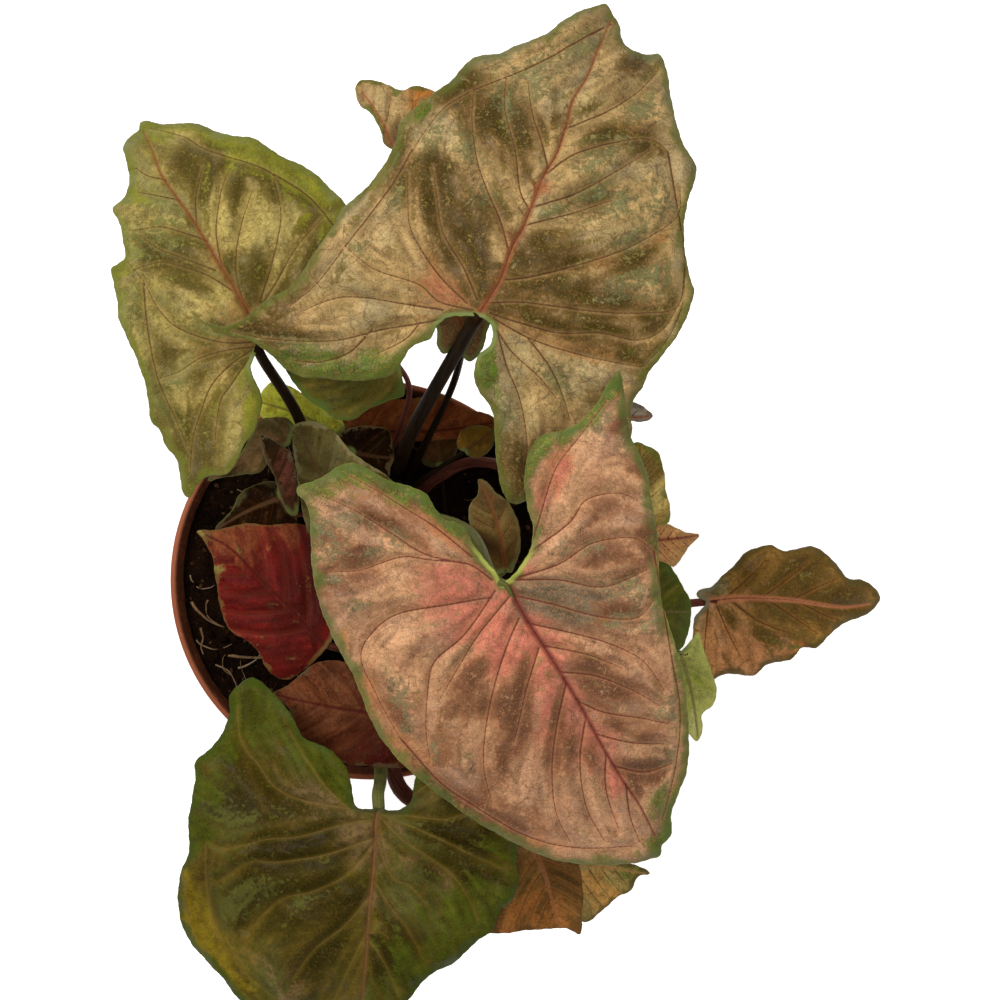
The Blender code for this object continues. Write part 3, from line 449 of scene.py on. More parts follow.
# Patches of colour: for each leaf and kind, the centres and their reach in pixels.
# The dark patches are partly the blades' own mottling and partly painted shade, in folds and
# beside the edges of leaves above.
# The light patches are partly paler blade and partly painted sheen.
PATCHES = {
    "tan": {
        "dark": (430,172,17, 447,190,18, 463,214,16, 478,236,10, 503,123,21, 480,118,16,
            590,202,15, 545,288,16, 580,293,19, 612,300,17, 657,317,13, 633,263,14, 593,337,13,
            627,353,12, 630,64,11, 460,82,14, 232,328,22, 512,470,20, 512,488,20, 500,495,16,
            600,140,14, 405,170,14, 430,185,20, 465,195,20, 440,225,18, 455,255,16, 478,262,14,
            487,215,14, 500,215,12, 476,292,12, 540,245,14, 520,265,14, 560,305,22, 585,312,20,
            610,342,12, 545,315,14, 635,135,16, 648,140,12, 520,135,14, 540,125,12, 462,102,14,
            500,110,10, 245,326,20, 270,330,18, 285,337,12, 500,440,14, 498,460,14, 520,480,16,
            512,495,14, 660,360,10, 402,150,10, 485,296,16, 505,298,14, 530,300,14, 575,328,14,
            565,264,16, 268,345,12, 245,335,14, 655,352,12, 640,370,10, 475,93,10, 525,172,9),
        "green": (480,197,12, 597,193,14, 537,73,20, 582,45,17, 600,157,20, 623,203,12, 630,240,12,
            560,213,14, 493,57,15, 432,130,14, 394,200,10, 357,247,10, 650,280,18, 620,290,14,
            640,110,14, 560,380,16, 505,415,14, 665,210,16, 508,100,18, 470,150,14, 300,350,22),
        "rose": (460,300,20, 440,292,16, 512,240,9, 490,280,9, 540,190,8),
        "warm": (500,312,16, 530,322,16, 575,345,18, 610,352,14, 470,285,12, 600,262,10,
            430,262,12, 520,290,12, 600,300,10, 660,240,8, 636,66,8),
        "lime": (423,113,8, 400,368,18, 360,372,18, 320,368,16, 286,358,14, 440,335,10, 484,376,13,
            488,352,10, 425,352,14),
        "light": (645,72,14, 660,62,10, 580,108,18, 455,150,14, 620,245,20, 600,215,14, 527,425,16,
            515,350,16, 555,362,18, 345,277,18, 430,145,12, 385,240,10),
    },
    "khaki": {
        "dark": (183,168,14, 200,187,14, 240,180,14, 277,187,9, 177,247,17, 155,252,13, 253,272,17,
            170,352,15, 200,378,11, 322,214,16, 188,452,24, 170,446,18, 188,482,18, 250,290,12,
            224,150,14, 210,165,12, 245,165,18, 262,170,12, 300,190,10, 330,210,12, 180,265,20,
            190,278,14, 230,270,10, 245,285,14, 295,276,18, 320,250,12, 175,435,16, 190,470,22,
            200,455,24, 165,440,14, 210,355,12, 240,360,10, 150,420,10),
        "green": (130,250,20, 134,310,22, 150,200,20, 152,232,18, 210,330,14, 160,400,18),
        "lime": (215,131,18, 250,143,20, 290,168,22, 322,192,18, 143,134,16, 257,400,12,
            254,426,12, 246,376,9, 128,196,12, 120,270,12, 342,222,14),
        "warm": (249,330,24, 225,345,20, 216,258,14),
        "light": (230,236,34, 290,250,28, 200,290,20, 180,125,12, 190,320,12, 235,435,12,
            255,215,14, 160,135,12, 280,225,14),
    },
    "pink": {
        "rose": (487,605,30, 520,628,20, 500,590,20, 540,660,22, 565,700,22, 590,740,20,
            557,722,24, 612,775,16, 470,600,24, 508,640,26, 450,575,16, 560,470,10, 545,500,10),
        "shade": (530,597,15, 556,604,16, 583,611,16, 598,604,12, 570,590,14, 540,588,12),
        "dark": (607,683,17, 594,664,10, 523,672,10, 507,705,14, 520,700,13, 563,738,16,
            553,756,12, 393,528,13, 370,518,9, 357,553,11, 600,505,14, 650,537,10, 627,583,10,
            637,772,12, 655,768,11, 590,757,10, 600,702,12, 615,724,9, 645,738,8, 520,730,12,
            480,700,10, 500,760,12, 478,556,10, 310,520,10, 330,580,14, 365,575,10, 440,505,10,
            615,555,14, 650,540,12, 600,560,10, 655,605,10, 620,610,12, 470,680,18, 460,700,16,
            400,715,12, 440,790,16, 480,810,16, 515,825,12, 560,720,10, 385,488,9, 415,500,9,
            440,512,9, 456,530,8, 470,546,9, 482,560,8, 612,384,10, 604,402,8, 328,532,12,
            640,470,10, 625,420,10, 650,775,10),
        "green": (350,517,14, 320,527,14, 333,553,11, 370,555,10, 357,607,9, 333,580,8, 470,763,8,
            433,750,7, 407,727,9, 590,548,10, 667,757,13, 670,713,13, 657,620,15, 625,620,12,
            395,535,10, 628,440,12, 400,700,10, 390,680,8, 540,455,9, 600,420,12, 640,590,12,
            566,548,8, 610,586,10),
        "warm": (400,742,17, 423,778,18, 477,818,18, 530,838,17, 340,640,10, 365,690,14,
            440,520,20, 475,550,12, 556,470,14),
        "lime": (661,803,14, 668,835,13, 656,848,10, 362,472,13, 398,488,12, 428,504,12, 455,530,8,
            318,490,13, 340,474,12, 531,470,7, 540,446,9, 565,434,9, 592,416,10, 612,388,10),
        "light": (530,770,14, 530,790,12, 570,640,10, 600,650,12, 390,625,16, 350,650,12,
            530,590,8, 545,540,14, 560,690,9, 580,750,9),
    },
    "olive": {
        "lime": (240,700,26, 262,700,22, 300,752,16, 335,768,16, 348,795,10, 200,790,18,
            196,830,16, 322,760,16, 215,750,18, 470,920,26, 450,945,24, 495,890,20, 510,850,16,
            415,975,22, 375,1010,20),
        "warm": (192,920,18, 212,955,20, 236,985,18, 186,890,12),
        "dark": (270,842,22, 242,800,24, 330,862,16, 300,902,24, 385,960,18, 316,835,16,
            346,905,18, 250,900,22, 410,940,20, 440,830,18, 470,790,24, 310,960,26, 230,815,18,
            285,810,12, 380,805,14, 400,800,12, 250,690,12, 425,870,12, 330,780,12, 360,790,10,
            470,840,16, 300,855,14, 235,762,16, 265,862,16, 490,880,20, 475,900,18, 358,800,10,
            395,808,10),
        # The light patches by the notch are partly the paler tone along the main veins, partly
        # painted sheen.
        "light": (330,803,20, 350,828,16, 376,850,13, 420,868,12, 296,798,16, 355,845,14,
            396,830,10, 370,900,10, 445,880,12, 392,910,10, 245,905,14, 290,985,20, 370,1000,12),
        # Some of these green patches are painted sheen, a pale bluish gloss.
        "green": (400,893,13, 415,876,11, 400,840,14, 232,830,18, 216,812,16, 440,905,22,
            425,925,18, 480,870,16, 395,815,12, 200,840,14, 245,895,20, 390,905,10, 430,845,10,
            270,985,16, 230,905,14, 390,985,10, 300,900,8),
    },
    "brown": {
        "rose": (730,645,26, 712,655,20, 716,620,18, 750,655,18, 770,640,14, 740,600,8, 790,602,8,
            835,606,7),
        "warm": (760,668,12, 800,650,12, 725,672,10),
        "dark": (790,575,26, 830,600,20, 750,575,16, 732,620,8, 762,635,8, 820,615,14, 785,612,14),
        "green": (712,592,12),
        "light": (710,590,12, 705,625,14, 720,600,8, 750,665,10, 702,634,12),
    },
    "beige": {
        "warm": (420,95,12),
        "dark": (470,330,30, 392,140,12),
        "light": (385,110,20),
    },
    "red_left": {
        "warm": (225,540,20, 250,532,14, 290,530,12, 320,530,10),
        "light": (222,536,10),
        "dark": (320,600,26),
        "lime": (206,536,7, 214,572,6),
    },
    "maroon": {
        "light": (345,700,30, 300,696,14),
        "warm": (310,690,20),
        "dark": (380,755,22),
    },
    "red_front": {
        "warm": (545,905,22, 510,915,16),
        "dark": (570,880,24, 500,880,20),
    },
    "khaki_centre": {
        "light": (500,535,16),
        "warm": (497,493,8),
        "dark": (480,540,14),
    },
    "orange_front": {
        "warm": (600,892,22),
        "lime": (632,872,14),
    },
    "yellow_right": {
        "dark": (645,470,16),
        "light": (655,500,12),
        "lime": (640,450,10),
    },
    "lime_right": {
        "light": (700,724,12),
        "green": (690,680,14),
    },
    "folded": {
        "rose": (290,470,16, 293,490,12),
    },
    "grey_pink": {
        "rose": (275,450,14),
        "dark": (235,472,14),
    },
}


def curve(points, step, closed=False):
    """Points an even step apart on a smooth line through the points."""
    p = np.asarray(points, float)
    n = len(p)
    u = (np.arange(12) / 12)[:, None]
    dense = []
    for i in range(n if closed else n - 1):
        p0, p1, p2, p3 = (p[k % n if closed else min(max(k, 0), n - 1)]
                          for k in range(i - 1, i + 3))
        dense.append(0.5 * (2 * p1 + (p2 - p0) * u + (2 * p0 - 5 * p1 + 4 * p2 - p3) * u ** 2
                            + (3 * p1 - p0 - 3 * p2 + p3) * u ** 3))
    dense = np.concatenate(dense + [p[:1] if closed else p[-1:]])
    run = np.concatenate([[0], np.cumsum(np.linalg.norm(np.diff(dense, axis=0), axis=1))])
    count = max(3, round(run[-1] / step))
    at = np.arange(count) * run[-1] / count if closed else np.linspace(0, run[-1], count + 1)
    return np.column_stack([np.interp(at, run, dense[:, k]) for k in range(dense.shape[1])])


def normals(line, closed):
    if closed:
        run = np.roll(line, -1, axis=0) - np.roll(line, 1, axis=0)
    else:
        run = np.gradient(line, axis=0)
    run = run / np.maximum(np.linalg.norm(run, axis=1), 1e-9)[:, None]
    return np.column_stack([-run[:, 1], run[:, 0]])


def inside(p, loop):
    hit = np.zeros(len(p), bool)
    for a, b in zip(np.roll(loop, 1, axis=0), loop):
        if a[1] != b[1]:
            cross = (a[1] > p[:, 1]) != (b[1] > p[:, 1])
            hit ^= cross & (p[:, 0] < a[0] + (p[:, 1] - a[1]) * (b[0] - a[0]) / (b[1] - a[1]))
    return hit


def tree(points):
    kd = KDTree(len(points))
    for i, p in enumerate(points):
        kd.insert((p[0], p[1], 0), i)
    kd.balance()
    return kd


def nearest(kd, points):
    """Index of and distance to the nearest of the tree's points, for each point."""
    found = [kd.find((p[0], p[1], 0)) for p in points]
    return np.array([f[1] for f in found]), np.array([f[2] for f in found])


def waves(px, length, count, seed):
    """Smooth undulation of about that wave length: a sum of plane waves."""
    rng = np.random.RandomState(seed)
    total = np.zeros(len(px))
    for _ in range(count):
        turn = rng.uniform(0, math.tau)
        rate = math.tau / (length * rng.uniform(0.7, 1.5))
        total += np.sin((px[:, 0] * math.cos(turn) + px[:, 1] * math.sin(turn)) * rate
                        + rng.uniform(0, math.tau))
    return total / math.sqrt(count)


def lattice(points, seed):
    """Smooth random values from 0 to 1 on a unit lattice."""
    table = np.random.RandomState(seed).uniform(0, 1, (LATTICE, LATTICE))
    cell = np.floor(points).astype(int)
    u = points - cell
    u = u * u * (3 - 2 * u)
    i, j = cell[:, 0] % LATTICE, cell[:, 1] % LATTICE
    k, m = (i + 1) % LATTICE, (j + 1) % LATTICE
    near = table[i, j] * (1 - u[:, 0]) + table[k, j] * u[:, 0]
    far = table[i, m] * (1 - u[:, 0]) + table[k, m] * u[:, 0]
    return near * (1 - u[:, 1]) + far * u[:, 1]


def streaks(px, way, cell, reach, seed):
    """Random values from 0 to 1, drawn out along the direction way at each point."""
    steps = np.linspace(-1, 1, 9)
    mean = sum(lattice((px + way * (reach * k)) / cell, seed) for k in steps) / len(steps)
    return np.clip(0.5 + (mean - mean.mean()) / (4.5 * mean.std()), 0, 1)


def auto_veins(leaf, loop):
    """Midrib and side veins of a small leaf: each side vein runs to the margin."""
    line = leaf.tip - leaf.notch
    length = np.linalg.norm(line)
    line = line / length
    side = np.array([-line[1], line[0]])
    bend = 0.05 * length * math.sin(leaf.phase + leaf.azimuth)
    u = np.linspace(0, 0.97, 8)
    rib = leaf.notch + np.outer(u, line * length) + np.outer(np.sin(u * math.pi) * bend, side)
    veins = []
    for k in range(AUTO_VEINS + 1):
        start = rib[0] + (rib[-1] - rib[0]) * (k / (AUTO_VEINS + 0.6)) * 0.9
        for hand in (1, -1):
            angle = math.radians(128 if k == 0 else 62 - 4 * k)
            points = [start]
            while len(points) < 60:
                step = (math.cos(angle) * line + hand * math.sin(angle) * side) * 3
                points.append(points[-1] + step)
                angle *= 0.975
                if not inside(points[-1][None], loop)[0]:
                    break
            if len(points) > 4:
                veins.append(points[:-2:2] + [points[-2]])
    return rib, veins


def sprinkle(points, seen, gap):
    """Those of the points that keep the gap from the ones seen and from each other."""
    kept = []
    for p in points:
        cell = (int(p[0] // gap), int(p[1] // gap))
        near = [q for i in (-1, 0, 1) for j in (-1, 0, 1)
                for q in seen.get((cell[0] + i, cell[1] + j), ())]
        if all((p[0] - q[0]) ** 2 + (p[1] - q[1]) ** 2 > gap * gap for q in near):
            seen.setdefault(cell, []).append(p)
            kept.append(p)
    return kept


def blade_points(loop, margin_tree, lines, step):
    """The blade's points in pixels: a row inside the margin, rows along the veins, a grid."""
    inset = loop - normals(loop, True) * INSET
    if not inside(inset[:1], loop)[0]:
        inset = loop + normals(loop, True) * INSET
    rows = []
    for line in lines:
        fine = curve(line, VEIN_STEP)
        side = normals(fine, False)
        rows += [fine + side * off for off in VEIN_ROWS]
    rows = np.concatenate(rows)
    rows = rows[inside(rows, loop)]
    rows = rows[nearest(margin_tree, rows)[1] > 2.2]
    seen = {}
    kept = sprinkle(inset[inside(inset, loop)], seen, LEAST_GAP)
    kept += sprinkle(rows, seen, LEAST_GAP)
    low, high = loop.min(0), loop.max(0)
    xs, ys = np.meshgrid(np.arange(low[0], high[0], step), np.arange(low[1], high[1], step * 0.87))
    xs = xs + (np.arange(len(xs)) % 2)[:, None] * step / 2
    grid = np.column_stack([xs.ravel(), ys.ravel()])
    grid = grid[inside(grid, loop)]
    grid = grid[nearest(margin_tree, grid)[1] > 2.6]
    finer = {}
    for p in kept:
        finer.setdefault((int(p[0] // GRID_GAP), int(p[1] // GRID_GAP)), []).append(p)
    return kept + sprinkle(grid, finer, GRID_GAP)


def set_fields(mesh, **fields):
    for name, values in fields.items():
        field = mesh.attributes.new(name, "FLOAT", "POINT")
        field.data.foreach_set("value", np.asarray(values, np.float32))


def new_mesh(name, verts, faces, **fields):
    mesh = bpy.data.meshes.new(name)
    mesh.from_pydata(verts, [], faces)
    mesh.shade_smooth()
    set_fields(mesh, **fields)
    return mesh


def link(name, data):
    obj = bpy.data.objects.new(name, data)
    bpy.context.scene.collection.objects.link(obj)
    return obj


def add_piece(name, mesh, mats, slot, nodes=()):
    for mat in mats:
        mesh.materials.append(mat)
    obj = link(name, mesh)
    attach(obj, "root")
    if nodes:
        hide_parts(*nodes)
    return obj


def hump(distance, reach):
    """1 at distance 0, falling off smoothly over the reach."""
    return np.exp(-(distance / reach) ** 2)


def patch(leaf, kind, px, way):
    """How much of a kind of patch, from 0 to 1, lies on each point; patches lie along veins."""
    clear = np.ones(len(px))
    for x, y, reach in np.reshape(PATCHES.get(leaf.name, {}).get(kind, ()), (-1, 3)):
        gap = px - (x, y)
        ahead = (gap * way).sum(1) / PATCH_LENGTH
        across = (gap[:, 0] * way[:, 1] - gap[:, 1] * way[:, 0]) / PATCH_WIDTH
        clear *= 1 - np.exp(-(ahead ** 2 + across ** 2) / reach ** 2)
    return 1 - clear


def blade(leaf, seed):
    """A leaf blade: the mesh of its upper side, thickened downwards, most at the midrib."""
    scale = BIG if leaf.name in SIDE_VEINS else SMALL
    loop = curve(leaf.margin, MARGIN_STEP, True)
    run = np.arange(len(loop)) * MARGIN_STEP
    ragged = sum(high * np.sin(run * rate + seed * turn) for high, rate, turn in RAGGED)
    loop = loop + normals(loop, True) * ragged[:, None]
    rib, veins = auto_veins(leaf, loop)
    if leaf.name in MIDRIBS:
        rib = np.reshape(MIDRIBS[leaf.name], (-1, 2))
    if leaf.name in SIDE_VEINS:
        veins = [np.reshape(vein, (-1, 2)) for vein in SIDE_VEINS[leaf.name]]
    margin_tree = tree(curve(loop, 0.8, True))
    points = [*loop, *blade_points(loop, margin_tree, [rib, *veins], scale["step"])]
    ring = [(i, (i + 1) % len(loop)) for i in range(len(loop))]
    verts, _, faces, _, _, _ = delaunay_2d_cdt([Vector(p) for p in points], ring, [], 1, 1e-4)
    px = np.array([(v.x, v.y) for v in verts])

    rib_line = curve(rib, 1.0)
    rib_width = np.linspace(scale["rib"], RIB_END, len(rib_line))
    lines, widths, ways = [rib_line], [rib_width * 0.55], []
    for line in veins:
        fine = curve(line, 1.0)
        lines.append(fine)
        widths.append(np.linspace(VEIN_WIDTH, VEIN_END, len(fine)) * scale["vein"])
        side = normals(fine, False)
        ways.append(np.column_stack([side[:, 1], -side[:, 0]]))
    way = np.concatenate(ways)[nearest(tree(np.concatenate(lines[1:])), px)[0]]
    index, off = nearest(tree(np.concatenate(lines)), px)
    width = np.concatenate(widths)[index]
    rib_index, rib_off = nearest(tree(rib_line), px)
    _, edge = nearest(margin_tree, px)
    edge = np.where(edge < 0.7, 0, edge)
    sinus = np.linalg.norm(px - leaf.notch, axis=1) / np.linalg.norm(leaf.tip - leaf.notch)

    xyz = leaf.place(px)
    s, _ = leaf.axes(xyz[:, 0], xyz[:, 1])
    relief = -VEIN_GROOVE * hump(off, VEIN_REACH)
    relief -= RIB_GROOVE * hump(rib_off, RIB_REACH) * np.clip(1.2 - s, 0, 1)
    for rise, reach in SWELLS:
        relief += rise * (1 - hump(off, reach)) * np.clip(edge / MARGIN_CALM, 0, 1)
    for rise, length, count, turn in UNDULATIONS:
        relief += rise * waves(px, length, count, seed + turn)
    relief += PUCKER * (streaks(px, way, 9, 16, seed + 7) - 0.5)
    xyz[:, 2] += relief * scale["relief"] + BLADE_TOP

    mesh = new_mesh(
        "leaf_" + leaf.name, xyz.tolist(), [f[::-1] for f in faces],
        vein=np.minimum(off / width, 8), off=np.minimum(off, 30),
        rib=np.minimum(rib_off / rib_width[rib_index], 12), edge=np.minimum(edge, 60),
        sinus=np.minimum(sinus, 1),
        streak=streaks(px, way, scale["streak"], 14, seed + 1),
        cloud=streaks(px, way, scale["cloud"], 20, seed + 2),
        broad=0.5 + 0.6 * (streaks(px, way, 34, 16, seed + 3) - 0.5),
        middle=0.5 + 0.7 * (streaks(px, way, 9, 5, seed + 4) - 0.5),
        **{kind: patch(leaf, kind, px, way) for kind in PATCH_KINDS})
    obj = add_piece(mesh.name, mesh, [leaf_material(leaf.name), under_material(leaf.name)],
                    leaf.slot, ["blade_" + leaf.name])
    thick = THIN_SHARE + RIB_SHARE * hump(rib_off, RIB_SPREAD) * np.clip(1.05 - s, 0.1, 1)
    thick += VEIN_SHARE * hump(off, VEIN_SPREAD)
    group = obj.vertex_groups.new(name="thick")
    for i, weight in enumerate(np.clip(thick * np.clip(0.55 + edge / 6, 0, 1), 0.1, 1)):
        group.add([i], float(weight), "REPLACE")
    shell = obj.modifiers.new("thickness", "SOLIDIFY")
    shell.thickness = RIB_DEPTH * scale["thick"]
    shell.offset = -1
    shell.vertex_group = "thick"
    shell.material_offset = 1


class Shader:
    """A Principled material and short calls that build its nodes."""

    def __init__(self, name):
        self.mat = bpy.data.materials.new(name)
        self.mat.use_nodes = True
        self.nodes = self.mat.node_tree.nodes
        self.links = self.mat.node_tree.links
        self.bsdf = self.nodes["Principled BSDF"]
        self.at = self.nodes.new("ShaderNodeTexCoord").outputs["Object"]

    def put(self, value, socket):
        if isinstance(value, bpy.types.NodeSocket):
            self.links.new(value, socket)
        elif isinstance(value, tuple) and socket.type == "RGBA":
            socket.default_value = (*value, 1)
        else:
            socket.default_value = value

    def node(self, kind, inputs, **settings):
        """A new node; its inputs are given by name or number, as values or as sockets."""
        node = self.nodes.new("ShaderNode" + kind)
        for key, value in settings.items():
            setattr(node, key, value)
        for key, value in inputs.items():
            self.put(value, node.inputs[key])
        return node

    def math(self, operation, a, b=0.0):
        return self.node("Math", {0: a, 1: b}, operation=operation).outputs[0]

    def field(self, name):
        return self.node("Attribute", {}, attribute_name=name).outputs["Fac"]

    def noise(self, scale, detail=4.0, rough=0.55, warp=0.0, at=None, out="Fac"):
        inputs = {"Vector": at or self.at, "Scale": scale, "Detail": detail,
                  "Roughness": rough, "Distortion": warp}
        return self.node("TexNoise", inputs).outputs[out]

    def cells(self, scale, wobble, drift):
        """Distance to the borders of irregular cells; drift is the noise that bends them."""
        bent = self.node("VectorMath", {0: drift, 1: (wobble,) * 3, 2: self.at},
                         operation="MULTIPLY_ADD").outputs[0]
        return self.node("TexVoronoi", {"Scale": scale, "Vector": bent},
                         feature="DISTANCE_TO_EDGE").outputs["Distance"]

    def step(self, value, low, high):
        """0 below low and 1 above high, with a soft rise; high may be the lower one."""
        rising = high > low
        inputs = {"Value": value, "From Min": min(low, high), "From Max": max(low, high),
                  "To Min": 0.0 if rising else 1.0, "To Max": 1.0 if rising else 0.0}
        return self.node("MapRange", inputs, interpolation_type="SMOOTHSTEP").outputs["Result"]

    def spread(self, value, low, high, start=0.3):
        """Roughness from low to high, following a noise."""
        inputs = {"Value": self.step(value, start, 0.7), "To Min": low, "To Max": high}
        return self.node("MapRange", inputs).outputs["Result"]

    def tone(self, colour, factor):
        """The colour, lighter or darker by the factor."""
        return self.node("VectorMath", {0: colour, "Scale": factor}, operation="SCALE").outputs[0]

    def mix(self, share, a, b):
        return self.node("Mix", {"Factor": share, 6: a, 7: b}, data_type="RGBA").outputs[2]

    def layer(self, colour, value, low, high, new, share=1.0):
        """The colour, covered with a new one where the value goes from low to high."""
        return self.mix(self.math("MULTIPLY", self.step(value, low, high), share), colour, new)

    def total(self, *terms):
        """Sum of (value, weight) pairs, each value taken about its middle, 0.5."""
        result = 0.0
        for value, weight in terms:
            part = self.math("MULTIPLY", self.math("SUBTRACT", value, 0.5), weight)
            result = self.math("ADD", part, result)
        return result

    def finish(self, colour, rough, height, depth, strength=0.6, shine=0.3):
        bump = self.node("Bump", {"Strength": strength, "Distance": depth, "Height": height})
        for name, value in (("Specular IOR Level", shine), ("Base Color", colour),
                            ("Roughness", rough), ("Normal", bump.outputs["Normal"])):
            self.put(value, self.bsdf.inputs[name])
        return self.mat


# Leaf colours, linear.  Each leaf starts from its group's and changes what differs.
TAN = dict(base=(0.42, 0.28, 0.117), second=(0.3, 0.2, 0.08), dark=(0.046, 0.033, 0.005),
    cool=(0.27, 0.232, 0.13), green=(0.118, 0.132, 0.056), rose=(0.3, 0.105, 0.048),
    lime=(0.06, 0.112, 0.01), warm=(0.3, 0.15, 0.05), light=(0.42, 0.31, 0.14),
    shade=(0.12, 0.09, 0.05), vein=(0.07, 0.026, 0.01), rib=(0.24, 0.065, 0.026),
    margin=(0.09, 0.105, 0.016), lip=(0.16, 0.2, 0.06), under=(0.26, 0.2, 0.12), pepper=0.02,
    band=7, veins=0.9, net=0.4, gloss=0.45, shine=0.09)
KHAKI = dict(TAN, base=(0.32, 0.245, 0.072), second=(0.22, 0.178, 0.048),
    dark=(0.052, 0.042, 0.006), green=(0.12, 0.13, 0.038), rose=(0.26, 0.11, 0.04),
    cool=(0.22, 0.2, 0.075), lime=(0.15, 0.155, 0.012), warm=(0.3, 0.17, 0.055),
    light=(0.42, 0.33, 0.105), vein=(0.07, 0.038, 0.01), rib=(0.2, 0.062, 0.02),
    margin=(0.13, 0.145, 0.02), pepper=-0.03, net=0.3)
PINK = dict(TAN, base=(0.475, 0.265, 0.138), second=(0.37, 0.19, 0.104), dark=(0.11, 0.05, 0.026),
    green=(0.14, 0.14, 0.07), rose=(0.46, 0.13, 0.09), cool=(0.36, 0.215, 0.135),
    lime=(0.08, 0.13, 0.016), warm=(0.42, 0.165, 0.065), light=(0.58, 0.32, 0.18),
    shade=(0.125, 0.1, 0.06), vein=(0.105, 0.021, 0.014), rib=(0.14, 0.018, 0.02),
    margin=(0.075, 0.115, 0.022), lip=(0.32, 0.36, 0.07), under=(0.34, 0.2, 0.13), pepper=-0.05,
    band=8, net=0.3)
OLIVE = dict(TAN, base=(0.1, 0.068, 0.01), second=(0.062, 0.054, 0.006), dark=(0.02, 0.015, 0.002),
    green=(0.07, 0.072, 0.016), cool=(0.075, 0.072, 0.02), rose=(0.12, 0.05, 0.02),
    lime=(0.047, 0.058, 0.004), warm=(0.17, 0.12, 0.007), light=(0.165, 0.1, 0.046),
    vein=(0.16, 0.095, 0.036), rib=(0.13, 0.055, 0.022), margin=(0.036, 0.058, 0.005),
    lip=(0.05, 0.05, 0.016), under=(0.12, 0.12, 0.05), pepper=-0.02, band=5, net=0.12, veins=0.38,
    gloss=0.42, shine=0.04)
BROWN = dict(TAN, base=(0.315, 0.17, 0.037), second=(0.202, 0.124, 0.026),
    dark=(0.07, 0.044, 0.008), green=(0.1, 0.1, 0.05), rose=(0.5, 0.22, 0.09),
    cool=(0.16, 0.105, 0.034), warm=(0.38, 0.12, 0.026), rib=(0.5, 0.18, 0.09),
    vein=(0.075, 0.03, 0.01), margin=(0.08, 0.06, 0.014), lip=(0.16, 0.15, 0.09), band=4,
    pepper=-0.06)
RED = dict(TAN, base=(0.12, 0.0085, 0.0065), second=(0.072, 0.0055, 0.0045),
    dark=(0.038, 0.005, 0.004), green=(0.05, 0.03, 0.012), rose=(0.2, 0.02, 0.015),
    cool=(0.064, 0.007, 0.0045), warm=(0.17, 0.05, 0.018), light=(0.26, 0.11, 0.05),
    lime=(0.2, 0.19, 0.05), vein=(0.045, 0.006, 0.005), rib=(0.05, 0.006, 0.005),
    margin=(0.13, 0.065, 0.02), lip=(0.15, 0.08, 0.03), under=(0.16, 0.05, 0.03), pepper=-0.15,
    band=1.3, net=0.15, veins=0.5, shine=0.02)
GREEN = dict(TAN, base=(0.095, 0.076, 0.009), second=(0.066, 0.062, 0.005),
    dark=(0.034, 0.03, 0.004), green=(0.06, 0.1, 0.02), cool=(0.075, 0.08, 0.018),
    light=(0.16, 0.13, 0.03), warm=(0.115, 0.085, 0.012), vein=(0.1, 0.085, 0.03),
    rib=(0.12, 0.09, 0.03), margin=(0.055, 0.095, 0.014), under=(0.12, 0.14, 0.05), pepper=-0.05,
    band=6, veins=0.4, shine=0.05)
DARK = dict(TAN, base=(0.045, 0.026, 0.01), second=(0.028, 0.016, 0.007),
    dark=(0.012, 0.006, 0.003), green=(0.035, 0.032, 0.012), cool=(0.03, 0.024, 0.012),
    light=(0.075, 0.045, 0.02), warm=(0.04, 0.022, 0.008), vein=(0.075, 0.04, 0.018),
    rib=(0.09, 0.045, 0.02), margin=(0.06, 0.05, 0.02), under=(0.09, 0.06, 0.03), pepper=-0.1,
    band=2.5, veins=0.4, net=0.2, shine=0.012)
